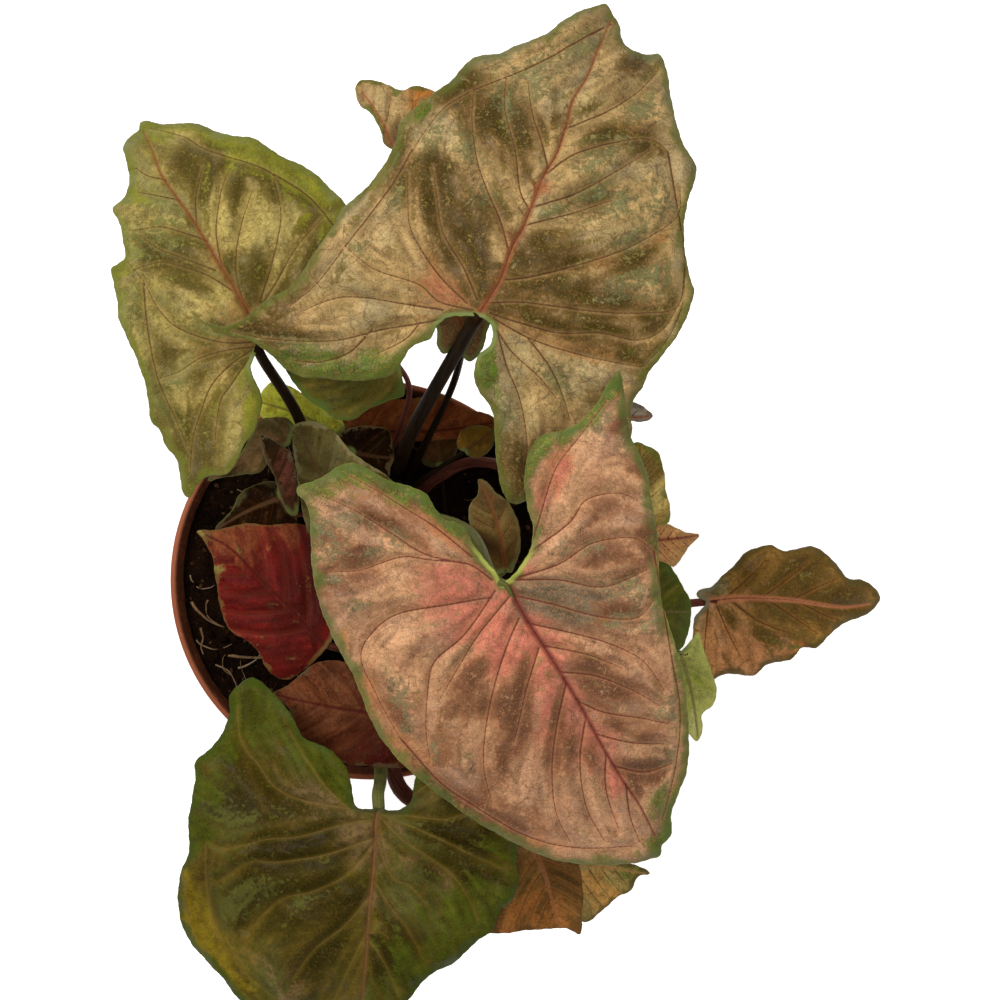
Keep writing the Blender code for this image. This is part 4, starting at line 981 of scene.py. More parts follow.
# The outer lower leaves brown, yellow_back, red_front, orange_front, lime_right, pink_right and
# yellow_right are set lighter: partly their own colour, partly painted light for the shade the
# leaves above cast on them.
COLOURS = {
    "tan": TAN, "khaki": KHAKI, "pink": PINK, "olive": OLIVE, "brown": BROWN,
    "beige": dict(TAN, base=(0.33, 0.21, 0.085), second=(0.245, 0.145, 0.056), pepper=-0.1,
        warm=(0.36, 0.12, 0.012), dark=(0.1, 0.07, 0.03), cool=(0.28, 0.185, 0.09), band=3),
    "green_back": GREEN,
    "yellow_back": dict(GREEN, base=(0.46, 0.5, 0.045), second=(0.36, 0.33, 0.028),
        cool=(0.45, 0.47, 0.045), margin=(0.5, 0.54, 0.07), warm=(0.45, 0.43, 0.04),
        light=(0.6, 0.6, 0.08), vein=(0.16, 0.18, 0.03), pepper=-0.3),
    "red_back": dict(RED, base=(0.205, 0.06, 0.017), second=(0.125, 0.038, 0.01)),
    "dark_centre": dict(DARK, base=(0.014, 0.0048, 0.0006), second=(0.008, 0.0028, 0.0005),
        cool=(0.012, 0.005, 0.0008), light=(0.034, 0.015, 0.003), warm=(0.017, 0.007, 0.0015),
        vein=(0.035, 0.017, 0.006), dark=(0.006, 0.003, 0.001), margin=(0.12, 0.08, 0.04),
        band=1.2),
    "olive_curl": dict(DARK, base=(0.115, 0.092, 0.028), second=(0.075, 0.06, 0.016),
        cool=(0.1, 0.095, 0.035), dark=(0.035, 0.026, 0.008), vein=(0.035, 0.028, 0.012),
        margin=(0.2, 0.17, 0.08), band=2.2, shine=0.05),
    "folded": dict(DARK, base=(0.036, 0.016, 0.004), cool=(0.026, 0.013, 0.003),
        rose=(0.22, 0.07, 0.045), margin=(0.2, 0.15, 0.08), band=1.6),
    "grey_pink": dict(DARK, base=(0.112, 0.068, 0.026), second=(0.065, 0.05, 0.014),
        cool=(0.09, 0.07, 0.03), rose=(0.18, 0.092, 0.05)),
    "dark_left": dict(DARK, base=(0.014, 0.0046, 0.0005), second=(0.008, 0.0028, 0.0004),
        cool=(0.013, 0.005, 0.0008), light=(0.036, 0.015, 0.003), warm=(0.018, 0.007, 0.001),
        dark=(0.006, 0.003, 0.001), vein=(0.04, 0.016, 0.006)),
    "red_left": RED,
    "maroon": dict(RED, base=(0.072, 0.02, 0.0075), second=(0.046, 0.011, 0.0045),
        cool=(0.06, 0.019, 0.009), warm=(0.13, 0.041, 0.014), light=(0.128, 0.048, 0.019),
        margin=(0.08, 0.05, 0.025), band=2),
    "red_front": dict(RED, base=(0.2, 0.1, 0.028), second=(0.125, 0.072, 0.018),
        cool=(0.17, 0.1, 0.035), dark=(0.06, 0.032, 0.01), warm=(0.38, 0.14, 0.036),
        rib=(0.28, 0.11, 0.05)),
    "orange_front": dict(BROWN, base=(0.36, 0.29, 0.09), second=(0.26, 0.21, 0.065),
        dark=(0.13, 0.09, 0.02), warm=(0.48, 0.23, 0.055), cool=(0.3, 0.26, 0.1),
        rib=(0.4, 0.22, 0.07)),
    "green_right": dict(GREEN, base=(0.07, 0.076, 0.003), second=(0.045, 0.05, 0.002),
        cool=(0.05, 0.058, 0.003), warm=(0.08, 0.068, 0.003), light=(0.12, 0.11, 0.008),
        margin=(0.05, 0.08, 0.004)),
    "lime_right": dict(GREEN, base=(0.39, 0.405, 0.11), second=(0.29, 0.3, 0.068),
        light=(0.56, 0.56, 0.25), green=(0.15, 0.22, 0.022), cool=(0.35, 0.39, 0.11),
        warm=(0.44, 0.4, 0.12), dark=(0.1, 0.12, 0.012), margin=(0.44, 0.46, 0.12),
        vein=(0.2, 0.22, 0.08)),
    "pink_right": dict(PINK, base=(0.53, 0.28, 0.105), second=(0.43, 0.21, 0.07), band=3,
        margin=(0.34, 0.2, 0.07)),
    "yellow_right": dict(KHAKI, base=(0.46, 0.345, 0.098), second=(0.33, 0.24, 0.062),
        cool=(0.36, 0.31, 0.1), dark=(0.1, 0.07, 0.016), light=(0.58, 0.46, 0.14), band=4),
    "dry_tip": dict(TAN, base=(0.29, 0.27, 0.22), second=(0.14, 0.12, 0.095), pepper=-0.05,
        cool=(0.16, 0.15, 0.14), vein=(0.06, 0.04, 0.035), margin=(0.1, 0.075, 0.06), band=3,
        gloss=0.7),
    "khaki_centre": dict(KHAKI, base=(0.12, 0.074, 0.019), second=(0.084, 0.053, 0.013),
        light=(0.17, 0.115, 0.036), dark=(0.04, 0.022, 0.007), cool=(0.1, 0.075, 0.024),
        warm=(0.16, 0.06, 0.02), margin=(0.14, 0.11, 0.04), band=3, pepper=-0.15),
    "brown_centre": dict(DARK, base=(0.088, 0.042, 0.01), second=(0.055, 0.026, 0.006)),
    "olive_centre": dict(DARK, base=(0.215, 0.122, 0.013), second=(0.138, 0.08, 0.009),
        cool=(0.13, 0.085, 0.02), margin=(0.11, 0.08, 0.02)),
}

# The layers of colour on a blade, from the lowest: the patches they follow and how closely,
# the noises that break them up, where the layer begins and is full, its share, its colour.
LAYERS = (
    (None, 0, dict(broad=1.5, middle=0.5, fine=0.3), 0.0, 0.35, 0.6, "cool"),
    # The light patches, partly painted sheen.
    ("light", 1, dict(middle=0.6, streak=0.6, fine=0.8), 0.15, 0.85, 0.75, "light"),
    ("warm", 1, dict(middle=0.7, streak=0.5, fine=0.5), 0.2, 0.85, 0.85, "warm"),
    ("rose", 1, dict(streak=0.7, middle=0.4, fine=0.4), 0.05, 1.05, 0.9, "rose"),
    ("shade", 1, dict(fine=0.6, streak=0.3), 0.1, 0.75, 0.9, "shade"),
    # Green speckles everywhere.
    ("pepper", 0, dict(fine=1.5, middle=0.5, grain=0.9, streak=0.6, cloud=0.7),
     0.05, 0.55, 0.45, "green"),
    # The dark patches, partly mottling and partly painted shade: a warm brown first, the dark
    # colour where they are thickest.
    ("dark", 1.1, dict(cloud=0.7, middle=0.6, streak=0.7, fine=1.0), 0.05, 0.85, 0.8, "brown"),
    ("dark", 0.95, dict(fine=1.6, middle=0.6, grain=1.3, streak=0.9, cloud=0.7, spots=0.6),
     0.18, 1.05, 0.97, "dark"),
    ("green", 0.5, dict(spots=1.3, fine=0.9, streak=0.4), 0.16, 0.52, 0.8, "green"),
    ("lime", 1, dict(middle=0.7, fine=0.8, streak=0.5), 0.25, 0.8, 0.9, "lime"),
)
# The warm brown, from between a leaf's second colour and its dark one.
BROWNING = (1.08, 0.88, 0.70)


def blend(a, b, share):
    """A colour between a and b: share of a, and the rest of b."""
    return tuple(share * x + (1 - share) * y for x, y in zip(a, b))


def leaf_material(name):
    """A leaf's upper side: mottled blade, coloured patches, veins, fine net and margin."""
    c = dict(COLOURS[name])
    c["brown"] = tuple(w * v for w, v in zip(BROWNING, blend(c["second"], c["dark"], 0.5)))
    sh = Shader("leaf_" + name)
    value = {key: sh.field(key) for key in ("broad", "middle", "streak", "cloud", "edge", "rib")}
    value["spots"] = sh.noise(520, 2.0, 0.6, 0.6)
    value["fine"] = sh.noise(1050, 2.0, 0.6)
    value["grain"] = sh.noise(2900, 1.0, 0.6)

    def total(**weights):
        return sh.total(*((value[key], weight) for key, weight in weights.items()))

    colour = sh.layer(c["base"], total(cloud=1.0, middle=0.8), -0.3, 0.3, c["second"])
    for kind, closeness, weights, low, high, share, new in LAYERS:
        start = total(**weights)
        if kind == "pepper":
            start = sh.math("ADD", start, c["pepper"])
        elif kind:
            start = sh.math("ADD", sh.math("MULTIPLY", sh.field(kind), closeness), start)
        colour = sh.layer(colour, start, low, high, c[new], share)
    specks = total(fine=1.6, grain=1.0, spots=0.9)
    colour = sh.layer(colour, specks, 0.02, 0.30, c["brown"], 0.50)
    bright = sh.math("MULTIPLY", sh.step(specks, -0.06, -0.36), 0.35)
    flicker = total(fine=1.6, grain=2.2, streak=0.8, middle=0.4)
    colour = sh.tone(colour, sh.math("ADD", sh.math("ADD", flicker, bright), 1.0))
    # A paler strip beside the veins, painted highlight on their raised ridges; then the margin,
    # the fine net, veins and midrib.
    colour = sh.layer(colour, sh.field("off"), 4.5, 1.0, blend(c["base"], c["warm"], 0.6), 0.28)
    edge = sh.math("ADD", value["edge"], total(middle=14.0, fine=9.0))
    colour = sh.layer(colour, edge, c["band"] * 1.6, c["band"] * 0.2, c["margin"], 0.8)
    drift = sh.noise(190, 1.0, out="Color")
    colour = sh.layer(colour, sh.cells(330, 0.0022, drift), 0.065, 0.0, c["vein"], c["net"] * 0.5)
    colour = sh.layer(colour, sh.cells(150, 0.005, drift), 0.030, 0.0, c["vein"], c["net"] * 1.1)
    colour = sh.layer(colour, sh.field("vein"), 0.95, 0.25, c["vein"], c["veins"])
    colour = sh.layer(colour, value["rib"], 2.2, 0.4, c["rib"], 0.70)
    colour = sh.layer(colour, value["rib"], 0.45, 0.1, c["vein"], 0.75)
    # The pale lip round the notch, and a thin rim.
    lip = sh.math("MULTIPLY", sh.step(sh.field("sinus"), 0.19, 0.08),
                  sh.step(value["edge"], 6.0, 2.5))
    colour = sh.mix(sh.math("MULTIPLY", lip, 0.9), colour, c["lip"])
    colour = sh.layer(colour, value["edge"], 1.2, 0.2, c["lip"], 0.3)
    return sh.finish(colour, sh.spread(value["middle"], c["gloss"] - 0.05, c["gloss"] + 0.12),
                     total(fine=0.8, grain=0.3, streak=0.6), 0.2 * MM, 0.6, c["shine"])


def under_material(name):
    """A leaf's lower side: paler, matt, with raised light veins."""
    c = COLOURS[name]
    sh = Shader("under_" + name)
    middle = sh.noise(180, 4.0)
    fine = sh.noise(1100, 5.0, 0.7)
    colour = sh.layer(blend(c["under"], c["second"], 0.55), sh.total((middle, 1.0), (fine, 0.7)),
                      -0.2, 0.25, c["under"])
    # The upper side's dark patches, partly painted shade, darken this side a little too.
    colour = sh.mix(sh.math("MULTIPLY", sh.field("dark"), 0.35), colour, c["dark"])
    pale = tuple(0.25 * v + 0.75 * min(1.0, 1.35 * v + 0.03) for v in c["under"])
    net = sh.cells(330, 0.0022, sh.noise(190, 1.0, out="Color"))
    colour = sh.layer(colour, net, 0.08, 0.0, pale, 0.25)
    colour = sh.layer(colour, sh.field("vein"), 1.6, 0.5, pale, 0.7)
    colour = sh.layer(colour, sh.field("rib"), 1.6, 0.6, pale, 0.8)
    return sh.finish(colour, sh.spread(middle, 0.5, 0.68),
                     sh.total((fine, 0.6), (middle, 0.5)), 0.16 * MM)


def stalk_route(leaf):
    """Points of the stalk's centre line, as in the CAD part, and on up into the blade."""
    cx, cy = CROWNS[leaf.crown]
    reach = CROWN_RADIUS + GAP + leaf.radius * 1.15
    foot = Vector((cx + reach * math.cos(leaf.azimuth), cy + reach * math.sin(leaf.azimuth),
                   SOIL_TOP - 2 * MM + leaf.start))
    along = Vector(leaf.along)
    seat = Vector(leaf.base) + 0.5 * leaf.radius * along
    under = min(float(leaf.surface(seat.x + 0.8 * leaf.radius * math.cos(k),
                                   seat.y + 0.8 * leaf.radius * math.sin(k))) for k in range(7))
    head = Vector((seat.x, seat.y, under - 0.85 * MM))
    stops = [foot]
    for px, py, z in leaf.via:
        stops.append(Vector((*sight((px, py), z * MM)[0], z * MM)))
    rise = head.z - foot.z
    spread = Vector((head.x - foot.x, head.y - foot.y, 0))
    if not leaf.via:
        stops.append(foot + spread * 0.30 + Vector((0, 0, rise * 0.55)))
    stops.append(head - (spread.normalized() * 0.7 + Vector((0, 0, 0.7))) * 3 * leaf.radius)
    top = float(leaf.surface(head.x, head.y))
    stops.append(Vector((head.x, head.y, top - 1.0 * leaf.radius)))
    tail = head + Vector((*along, 0)) * leaf.radius * 3.5
    stops.append(Vector((tail.x, tail.y, float(leaf.surface(tail.x, tail.y)) - 1.1 * MM)))
    return np.array([tuple(p) for p in stops])


def tube(route, radii, sides, squash=None):
    """Verts, faces and per-vertex (run, turn) of a closed tube along the route."""
    run = np.gradient(route, axis=0)
    run /= np.linalg.norm(run, axis=1)[:, None]
    side = np.cross(run[0], (0.3, 0.5, 0.81))
    verts, faces, runs, turns = [], [], [], []
    done = np.concatenate([[0], np.cumsum(np.linalg.norm(np.diff(route, axis=0), axis=1))])
    for i, (centre, ahead) in enumerate(zip(route, run)):
        side = side - ahead * side.dot(ahead)
        side /= np.linalg.norm(side)
        across = np.cross(ahead, side)
        for k in range(sides):
            a = k / sides * math.tau
            shape = squash(i / (len(route) - 1), a) if squash else 1.0
            verts.append(centre + (side * math.cos(a) + across * math.sin(a)) * radii[i] * shape)
            runs.append(done[i])
            turns.append(a)
    for i in range(len(route) - 1):
        for k in range(sides):
            a, b = i * sides + k, i * sides + (k + 1) % sides
            faces.append((a, b, b + sides, a + sides))
    for i, order in ((0, -1), (len(route) - 1, 1)):
        verts.append(route[i])
        runs.append(done[i])
        turns.append(0.0)
        for k in range(sides):
            pair = (i * sides + k, i * sides + (k + 1) % sides)
            faces.append((*pair[::order], len(verts) - 1))
    return verts, faces, runs, turns


def grooved(u, a):
    """A shallow groove along one side of a stalk, deeper towards the sheathing base."""
    bite = 0.10 + 0.16 * (1 - u)
    return 1 - bite * math.exp(-((a - math.pi) / 0.55) ** 2) + 0.012 * math.sin(5 * a)


def stalk(leaf):
    """A leaf's stalk: wider at its foot, drawn in where it ends in the blade."""
    route = curve(stalk_route(leaf), 1.6 * MM)
    u = np.linspace(0, 1, len(route))
    radii = leaf.radius * (1.12 - 0.24 * u + 0.35 * hump(u, 0.10))
    left = (1 - u) * np.linalg.norm(np.diff(route, axis=0), axis=1).sum()
    radii *= np.clip(0.2 + 0.8 * left / (4.0 * leaf.radius), 0.2, 1)
    radii[0] *= 0.75
    verts, faces, runs, turns = tube(route, radii, STALK_SIDES, grooved)
    mesh = new_mesh("petiole_" + leaf.name, [tuple(v) for v in verts], faces,
                    run=runs, turn=turns, reach=np.array(runs) / max(runs))
    slot = next(key for key, group in STALKS.items() if leaf.name in group["leaves"])
    add_piece(mesh.name, mesh, [stalk_material(slot)], slot, ["stalk_" + leaf.name])


# Stalk colours, linear, and the leaves whose stalks have them.
STALKS = {
    "stalk_dark": dict(
        body=(0.006, 0.003, 0.001), pale=(0.020, 0.010, 0.003), dark=(0.003, 0.0015, 0.0008),
        leaves=("tan", "khaki", "beige", "dark_centre", "grey_pink", "dark_left", "dry_tip",
                "brown_centre", "olive_centre")),
    "stalk_green": dict(
        body=(0.068, 0.072, 0.016), pale=(0.135, 0.135, 0.045), dark=(0.030, 0.030, 0.007),
        leaves=("pink", "olive", "yellow_back", "olive_curl", "orange_front", "green_right",
                "lime_right", "khaki_centre")),
    "stalk_maroon": dict(
        body=(0.060, 0.014, 0.010), pale=(0.130, 0.045, 0.028), dark=(0.030, 0.008, 0.006),
        leaves=("brown", "green_back", "red_back", "folded", "red_left", "maroon", "red_front",
                "pink_right", "yellow_right")),
}


def stalk_material(slot):
    """Stalk skin: fine streaks along it, flecks, and its base darker and drier."""
    name = "petiole_" + slot
    if name in bpy.data.materials:
        return bpy.data.materials[name]
    c = STALKS[slot]
    sh = Shader(name)
    turn = sh.field("turn")
    skin = sh.node("CombineXYZ", {
        0: sh.math("MULTIPLY", sh.field("run"), 60.0),
        1: sh.math("MULTIPLY", sh.math("COSINE", turn), 3.0),
        2: sh.math("MULTIPLY", sh.math("SINE", turn), 3.0)})
    streak = sh.noise(2.2, 4.0, 0.6, 0.0, skin.outputs[0])
    flecks = sh.noise(1500, 4.0, 0.7)
    colour = sh.layer(c["body"], sh.total((streak, 1.4), (flecks, 0.5)), -0.2, 0.3, c["pale"])
    colour = sh.layer(colour, sh.total((flecks, 1.5)), 0.12, 0.4, c["dark"])
    colour = sh.layer(colour, sh.field("reach"), 0.22, 0.0, c["dark"], 0.6)
    return sh.finish(colour, sh.spread(flecks, 0.36, 0.52),
                     sh.total((streak, 1.0), (flecks, 0.3)), 0.15 * MM, 0.5, 0.02)


def revolve(profile, steps, wobble=None):
    """Verts and faces of a closed profile (radius, height) turned about Z.

    The profile runs from the axis down its outer side and back to the axis."""
    verts, faces, rings = [], [], []
    for r, z in profile:
        if r < 1e-6:
            rings.append([len(verts)] * steps)
            verts.append((0, 0, z))
        else:
            rings.append(list(range(len(verts), len(verts) + steps)))
            for k in range(steps):
                a = k / steps * math.tau
                grow = wobble(a, z) if wobble else 1.0
                verts.append((r * grow * math.cos(a), r * grow * math.sin(a), z))
    for upper, lower in zip(rings, rings[1:]):
        for k in range(steps):
            j = (k + 1) % steps
            face = tuple(dict.fromkeys((upper[k], lower[k], lower[j], upper[j])))
            if len(face) > 2:
                faces.append(face)
    return verts, faces


def pot_inner_radius(z):
    low = BASE_RADIUS - WALL
    return low + (RIM_RADIUS - WALL - low) * z / POT_HEIGHT


def pot():
    """The tapered pot: inside, rolled rim, the band and the step under it, wall, foot."""
    wall_top = pot_inner_radius(LIP_BOTTOM) + WALL
    wall_height = LIP_BOTTOM - 2 * MM
    profile = [(0, FLOOR), (20 * MM, FLOOR), (pot_inner_radius(FLOOR) - 2 * MM, FLOOR)]
    profile += [(pot_inner_radius(z * MM), z * MM) for z in (4.2, 5, 20, 40, 60, 80, 95, 103.6)]
    half = 0.5 * (WALL - 0.1 * MM)
    for k in range(9):
        a = math.pi * (1 - k / 8)
        profile.append((RIM_RADIUS - half + half * math.cos(a),
                        POT_HEIGHT - 0.9 * MM + 0.9 * MM * math.sin(a)))
    profile += [(RIM_RADIUS, z * MM) for z in (102, 98, 94.6)]
    profile += [(radius + out * MM, LIP_BOTTOM + up * MM) for radius, out, up in (
        (RIM_RADIUS, -0.15, 0.9), (RIM_RADIUS, -0.6, 0.35),
        (wall_top, 0.8, 0.1), (wall_top, 0.2, -0.4), (wall_top, -0.1, -1.6))]
    for k in range(1, 8):
        z = wall_height * (1 - k / 8)
        profile.append((BASE_RADIUS + (wall_top - BASE_RADIUS) * z / wall_height, z))
    profile += [(BASE_RADIUS + out * MM, up * MM)
                for out, up in ((0.2, 2.2), (0, 1.2), (-0.4, 0.4), (-1.2, 0), (-4, 0))]
    profile += [(20 * MM, 0), (0, 0)]
    mesh = new_mesh("nursery_pot", *revolve(profile, POT_STEPS))
    add_piece("nursery_pot", mesh, [pot_material()], "pot", ["pot"])


def pot_material():
    """Terracotta-coloured moulded plastic: faint mottle, scuffs, lime marks, painted shade inside.
    """
    sh = Shader("nursery_pot")
    broad = sh.noise(30, 4.0)
    fine = sh.noise(1400, 5.0, 0.65)
    scuffs = sh.noise(260, 5.0, 0.7, 1.2)
    x, y, z = sh.node("SeparateXYZ", {0: sh.at}).outputs
    colour = sh.layer((0.300, 0.088, 0.040), sh.total((broad, 1.0), (fine, 0.4)), -0.2, 0.2,
                      (0.235, 0.066, 0.029))
    colour = sh.layer(colour, scuffs, 0.60, 0.72, (0.46, 0.17, 0.08), 0.35)
    marks = sh.math("MULTIPLY", sh.step(sh.noise(700, 5.0, 0.7), 0.60, 0.72), 0.35)
    colour = sh.layer(colour, z, 40 * MM, 0.0, (0.45, 0.34, 0.27), marks)
    away = sh.math("POWER", sh.math("ADD", sh.math("MULTIPLY", x, x), sh.math("MULTIPLY", y, y)),
                   0.5)
    lean = (RIM_RADIUS - BASE_RADIUS) / POT_HEIGHT
    inner = sh.step(sh.math("SUBTRACT", away, sh.math("MULTIPLY", z, lean)),
                    BASE_RADIUS - 1 * MM, BASE_RADIUS - 2 * MM)
    # Painted shade: the inside of the pot and the inner half of its rim darkened towards black, in
    # patches.
    inside_painted_shade = sh.math("MULTIPLY", inner, 0.8)
    colour = sh.layer(colour, sh.total((scuffs, 1.0), (fine, 0.6)), -0.35, 0.05,
                      (0.036, 0.014, 0.007), inside_painted_shade)
    return sh.finish(colour, sh.spread(scuffs, 0.38, 0.56, 0.35),
                     sh.total((fine, 0.5), (scuffs, 0.6), (broad, 0.4)), 0.12 * MM, 0.4, 0.12)


def lump(p):
    """Height of the soil's crumbs above its plain dome."""
    rise = 1.3 * noise.fractal(p * 90, 0.9, 2.1, 4) + 0.9 * noise.fractal(p * 420, 0.7, 2.2, 4)
    return min(max(rise, -1.6), 1.6) * MM


def soil():
    """Peat surface: a lumpy dome over a plain root ball."""
    edge = pot_inner_radius(SOIL_TOP) - GAP
    profile = [(edge * i / SOIL_RINGS, SOIL_TOP - SOIL_SAG * (i / SOIL_RINGS) ** 2)
               for i in range(SOIL_RINGS + 1)]
    profile += [(edge, SOIL_TOP - 4 * MM), (pot_inner_radius(60 * MM) - GAP, 60 * MM),
                (pot_inner_radius(FLOOR) - GAP, FLOOR + GAP), (0, FLOOR + GAP)]
    verts, faces = revolve(profile, SOIL_STEPS)
    verts = [Vector(v) for v in verts]
    for p in verts:
        if p.z > SOIL_TOP - 2 * MM:
            p.z += lump(p)
    mesh = new_mesh("potting_mix", verts, faces)
    add_piece("potting_mix", mesh, [soil_material("potting_mix", 0.0)], "soil", ["soil"])


def soil_material(name, lift):
    """Moist peat: nearly black, brown crumbs and a few pale specks."""
    sh = Shader(name)
    broad = sh.noise(70, 4.0)
    crumb = sh.noise(650, 6.0, 0.75)
    specks = sh.noise(2200, 3.0, 0.6)
    colour = sh.layer((0.0018, 0.0009, 0.0005), sh.total((broad, 1.0), (crumb, 1.6)), -0.3, 0.45,
                      (0.0150, 0.0055, 0.0018))
    colour = sh.layer(colour, sh.field("own"), 0.55, 1.0, (0.100, 0.046, 0.020), lift)
    colour = sh.layer(colour, specks, 0.66, 0.74, (0.16, 0.11, 0.07), 0.7)
    height = sh.total((crumb, 1.4), (specks, 0.6), (broad, 0.4))
    return sh.finish(colour, sh.spread(crumb, 0.62, 0.92), height, 0.7 * MM, 0.9, 0.03)


def join(name, parts, own):
    """One mesh from (verts, faces) pairs; each part has its own value of the field own."""
    verts, faces, marks = [], [], []
    for (some_verts, some_faces), mark in zip(parts, own):
        faces += [tuple(i + len(verts) for i in face) for face in some_faces]
        verts += [tuple(p) for p in some_verts]
        marks += [mark] * len(some_verts)
    return new_mesh(name, verts, faces, own=marks)


def ball():
    """Verts and faces of a twelve-cornered ball of radius 1, divided once."""
    g = (1 + 5 ** 0.5) / 2
    corners = [(-1, g, 0), (1, g, 0), (-1, -g, 0), (1, -g, 0), (0, -1, g), (0, 1, g),
               (0, -1, -g), (0, 1, -g), (g, 0, -1), (g, 0, 1), (-g, 0, -1), (-g, 0, 1)]
    verts = [Vector(c).normalized() for c in corners]
    coarse = [(0, 11, 5), (0, 5, 1), (0, 1, 7), (0, 7, 10), (0, 10, 11), (1, 5, 9), (5, 11, 4),
              (11, 10, 2), (10, 7, 6), (7, 1, 8), (3, 9, 4), (3, 4, 2), (3, 2, 6), (3, 6, 8),
              (3, 8, 9), (4, 9, 5), (2, 4, 11), (6, 2, 10), (8, 6, 7), (9, 8, 1)]
    middles, faces = {}, []

    def middle(a, b):
        key = (min(a, b), max(a, b))
        if key not in middles:
            middles[key] = len(verts)
            verts.append((verts[a] + verts[b]).normalized())
        return middles[key]

    for a, b, c in coarse:
        ab, bc, ca = middle(a, b), middle(b, c), middle(c, a)
        faces += [(a, ab, ca), (b, bc, ab), (c, ca, bc), (ab, bc, ca)]
    return np.array([tuple(v) for v in verts]), faces


def soil_height(x, y):
    r = math.hypot(x, y) / (pot_inner_radius(SOIL_TOP) - GAP)
    p = Vector((x, y, SOIL_TOP - SOIL_SAG * r * r))
    return p.z + lump(p)


def crumbs():
    """Loose lumps of peat on the soil."""
    verts, faces = ball()
    parts, own = [], []
    edge = pot_inner_radius(SOIL_TOP) - 1.6 * MM
    while len(parts) < CRUMBS:
        r, a = edge * math.sqrt(RNG.uniform(0, 1)), RNG.uniform(0, math.tau)
        size = 0.35 * MM + 1.1 * MM * RNG.uniform(0, 1) ** 3
        x, y = min(r, edge - size) * math.cos(a), min(r, edge - size) * math.sin(a)
        stretch = RNG.uniform(0.6, 1.5, 3)
        turn = RNG.uniform(0, math.tau)
        lumps = 1 + 0.28 * np.sin(verts @ RNG.uniform(-3, 3, (3, 3)) + turn).sum(1) / 1.7
        shape = verts * stretch * lumps[:, None] * size
        c, s = math.cos(turn), math.sin(turn)
        shape = shape @ np.array([(c, s, 0), (-s, c, 0), (0, 0, 1)])
        parts.append((shape + (x, y, soil_height(x, y) + 0.15 * size), faces))
        own.append(RNG.uniform(0, 1))
    mesh = join("peat_crumbs", parts, own)
    add_piece("peat_crumbs", mesh, [soil_material("peat_crumbs", 0.7)], "soil")


def fibre(x, y, heading, length, radius, curl, lift=0.0):
    """A root or straw that lies on the soil."""
    points = []
    limit = pot_inner_radius(SOIL_TOP) - 1.5 * MM
    for k in range(9):
        points.append((x, y, soil_height(x, y) + radius * 0.7
                       + lift * math.sin(k / 8 * math.pi)))
        x += math.cos(heading) * length / 8
        y += math.sin(heading) * length / 8
        heading += curl * (1 + 0.8 * math.sin(k * 1.7 + curl * 9))
        r = math.hypot(x, y)
        if r > limit:
            x, y = x * limit / r, y * limit / r
    route = curve(points, length / 16)
    return tube(route, radius * np.linspace(1.0, 0.45, len(route)), 6)[:2]


def fibres():
    """Fine roots, thinly scattered."""
    parts, own = [], []
    limit = pot_inner_radius(SOIL_TOP) - 4 * MM
    for _ in range(FIBRES):
        r, a = limit * math.sqrt(RNG.uniform(0, 1)), RNG.uniform(0, math.tau)
        parts.append(fibre(r * math.cos(a), r * math.sin(a), RNG.uniform(0, math.tau),
                           RNG.uniform(5, 16) * MM, RNG.uniform(0.09, 0.24) * MM,
                           RNG.uniform(-0.45, 0.45), RNG.uniform(0, 1.5) * MM))
        own.append(RNG.uniform(0, 1))
    mesh = join("root_fibres", parts, own)
    add_piece("root_fibres", mesh, [straw_material("root_fibres")], "soil")


def straws():
    parts, own = [], []
    for k, (px, py, heading, length, radius, curl) in enumerate(STRAWS):
        x, y = sight((px, py), SOIL_TOP)[0]
        parts.append(fibre(x, y, math.radians(heading), length * MM, radius * MM, curl))
        own.append(0.35 + 0.08 * k)
    mesh = join("straw_bits", parts, own)
    add_piece("straw_bits", mesh, [straw_material("straw_bits")], "soil")


def straw_material(name):
    """Dry straw and root: brown, paler from piece to piece."""
    sh = Shader(name)
    flecks = sh.noise(1800, 5.0, 0.7)
    broad = sh.noise(200, 3.0)
    colour = sh.layer((0.075, 0.038, 0.014), sh.total((flecks, 1.0), (broad, 0.8)), -0.2, 0.2,
                      (0.165, 0.095, 0.040))
    colour = sh.layer(colour, sh.field("own"), 0.5, 1.0, (0.21, 0.15, 0.09))
    return sh.finish(colour, sh.spread(flecks, 0.55, 0.75), sh.total((flecks, 1.0)), 0.1 * MM)


def crown(name):
    """A short stem ringed by leaf scars, with dry sheaths round it."""
    x, y = CROWNS[name]
    rng = np.random.RandomState(sum(ord(c) for c in name))
    top = SOIL_TOP + CROWN_RISE
    profile = [(0, top)]
    for k in range(26):
        u = k / 25
        shoulder = min(1.0, math.sqrt(max(0.02, 1 - (1 - min(u * 4.5, 1)) ** 2)))
        ring = 1 + 0.05 * math.sin(u * 34)
        profile.append((CROWN_RADIUS * 0.93 * shoulder * ring, top - 0.4 * MM - u * 22 * MM))
    profile.append((0, top - 23 * MM))
    verts, faces = revolve(profile, 28, lambda a, z: 1 + 0.035 * math.sin(3 * a + z * 900))
    parts, own = [([(p[0] + x, p[1] + y, p[2]) for p in verts], faces)], [0.0]
    for _ in range(6):
        parts.append(sheath(x, y, rng.uniform(0, math.tau), rng.uniform(9, 15) * MM,
                            rng.uniform(0.5, 0.9)))
        own.append(rng.uniform(0.3, 1))
    body = join("stem_" + name, parts, own)
    add_piece("stem_" + name, body, [crown_material(name)], "crown", ["crown_" + name])


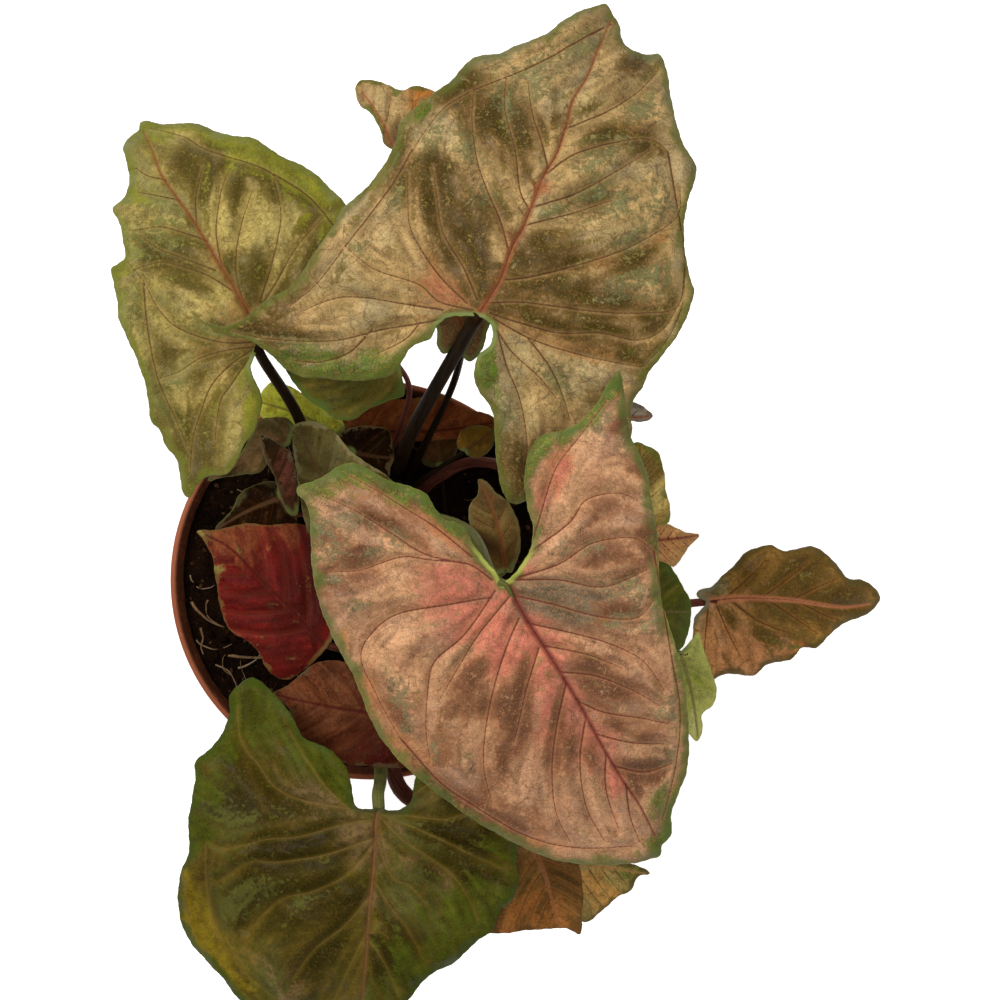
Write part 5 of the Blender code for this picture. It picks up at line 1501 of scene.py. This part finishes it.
def sheath(x, y, turn, tall, wide):
    """A dry pointed sheath, curved round the stem and leaning off it, a closed thin shell."""
    rows, columns = 10, 7
    verts, faces = [], []
    for layer in (0.0, 0.22 * MM):
        for i in range(rows + 1):
            u = i / rows
            half = wide * (1 - u ** 2.2) + 0.02
            for k in range(columns + 1):
                a = turn + half * (2 * k / columns - 1)
                r = CROWN_RADIUS * 0.98 + 0.25 * MM + 1.7 * MM * u ** 2 + layer
                verts.append((x + r * math.cos(a), y + r * math.sin(a),
                              SOIL_TOP - 1 * MM + tall * u))
    wide_row = columns + 1
    size = (rows + 1) * wide_row
    for i in range(rows):
        for k in range(columns):
            a = i * wide_row + k
            quad = (a, a + 1, a + wide_row + 1, a + wide_row)
            faces += [quad[::-1], tuple(q + size for q in quad)]
    ring = list(range(wide_row)) + [i * wide_row + columns for i in range(1, rows + 1)]
    ring += [rows * wide_row + k for k in range(columns - 1, -1, -1)]
    ring += [i * wide_row for i in range(rows - 1, 0, -1)]
    for a, b in zip(ring, ring[1:] + ring[:1]):
        faces.append((b, b + size, a + size, a))
    return verts, faces


def crown_material(name):
    """Corky stem, its dry sheaths paler."""
    sh = Shader("stem_" + name)
    broad = sh.noise(260, 4.0)
    fine = sh.noise(1500, 5.0, 0.7)
    colour = sh.layer((0.055, 0.040, 0.016), sh.total((broad, 1.0), (fine, 0.8)), -0.25, 0.25,
                      (0.095, 0.060, 0.026))
    colour = sh.layer(colour, sh.field("own"), 0.2, 0.9, (0.165, 0.105, 0.055), 0.85)
    return sh.finish(colour, sh.spread(fine, 0.5, 0.7),
                     sh.total((fine, 0.8), (broad, 0.8)), 0.25 * MM, 0.7)


def stage():
    """Plain pale floor, two large soft lights above and an even pale surround."""
    size = 40.0
    mesh = bpy.data.meshes.new("studio_floor")
    mesh.from_pydata([(-size, -size, 0), (size, -size, 0), (size, size, 0), (-size, size, 0)],
                     [], [(0, 1, 2, 3)])
    sh = Shader("studio_floor")
    for name, value in (("Base Color", (0.92, 0.92, 0.915)), ("Roughness", 0.9),
                        ("Emission Color", (1, 1, 1)), ("Emission Strength", 0.62)):
        sh.put(value, sh.bsdf.inputs[name])
    mesh.materials.append(sh.mat)
    floor = link("studio_floor", mesh)
    lights = [("key", (-0.65, 0.50, 1.30), 0.45, 15.0), ("top", (0.30, -0.10, 1.60), 0.9, 10.0)]
    for name, spot, width, power in lights:
        lamp = bpy.data.lights.new(name, "AREA")
        lamp.shape = "DISK"
        lamp.size = width
        lamp.energy = power
        lamp.color = (1.0, 0.97, 0.90)
        light = link(name, lamp)
        light.location = spot
        aim = Vector((0.04, 0.02, 0.12)) - Vector(spot)
        light.rotation_euler = aim.to_track_quat("-Z", "Y").to_euler()
    world = bpy.data.worlds.new("studio")
    world.use_nodes = True
    surround = world.node_tree.nodes["Background"].inputs
    surround["Color"].default_value = (1, 0.99, 0.97, 1)
    surround["Strength"].default_value = 0.24
    bpy.context.scene.world = world


def camera():
    """Straight down, at the photograph's view."""
    lens = bpy.data.cameras.new("camera")
    lens.sensor_width = SENSOR_MM
    lens.lens = SENSOR_MM * VIEW_SCALE_PX / PHOTO_PX
    lens.clip_start = 0.01
    obj = link("camera", lens)
    obj.location = (VIEW_X, VIEW_Y, VIEW_Z)
    bpy.context.scene.camera = obj


camera()
stage()
bpy.context.scene.view_settings.view_transform = "Standard"
pot()
soil()
crumbs()
fibres()
straws()
for crown_name in CROWNS:
    crown(crown_name)
for number, one in enumerate(LEAVES):
    blade(one, number + 3)
    stalk(one)
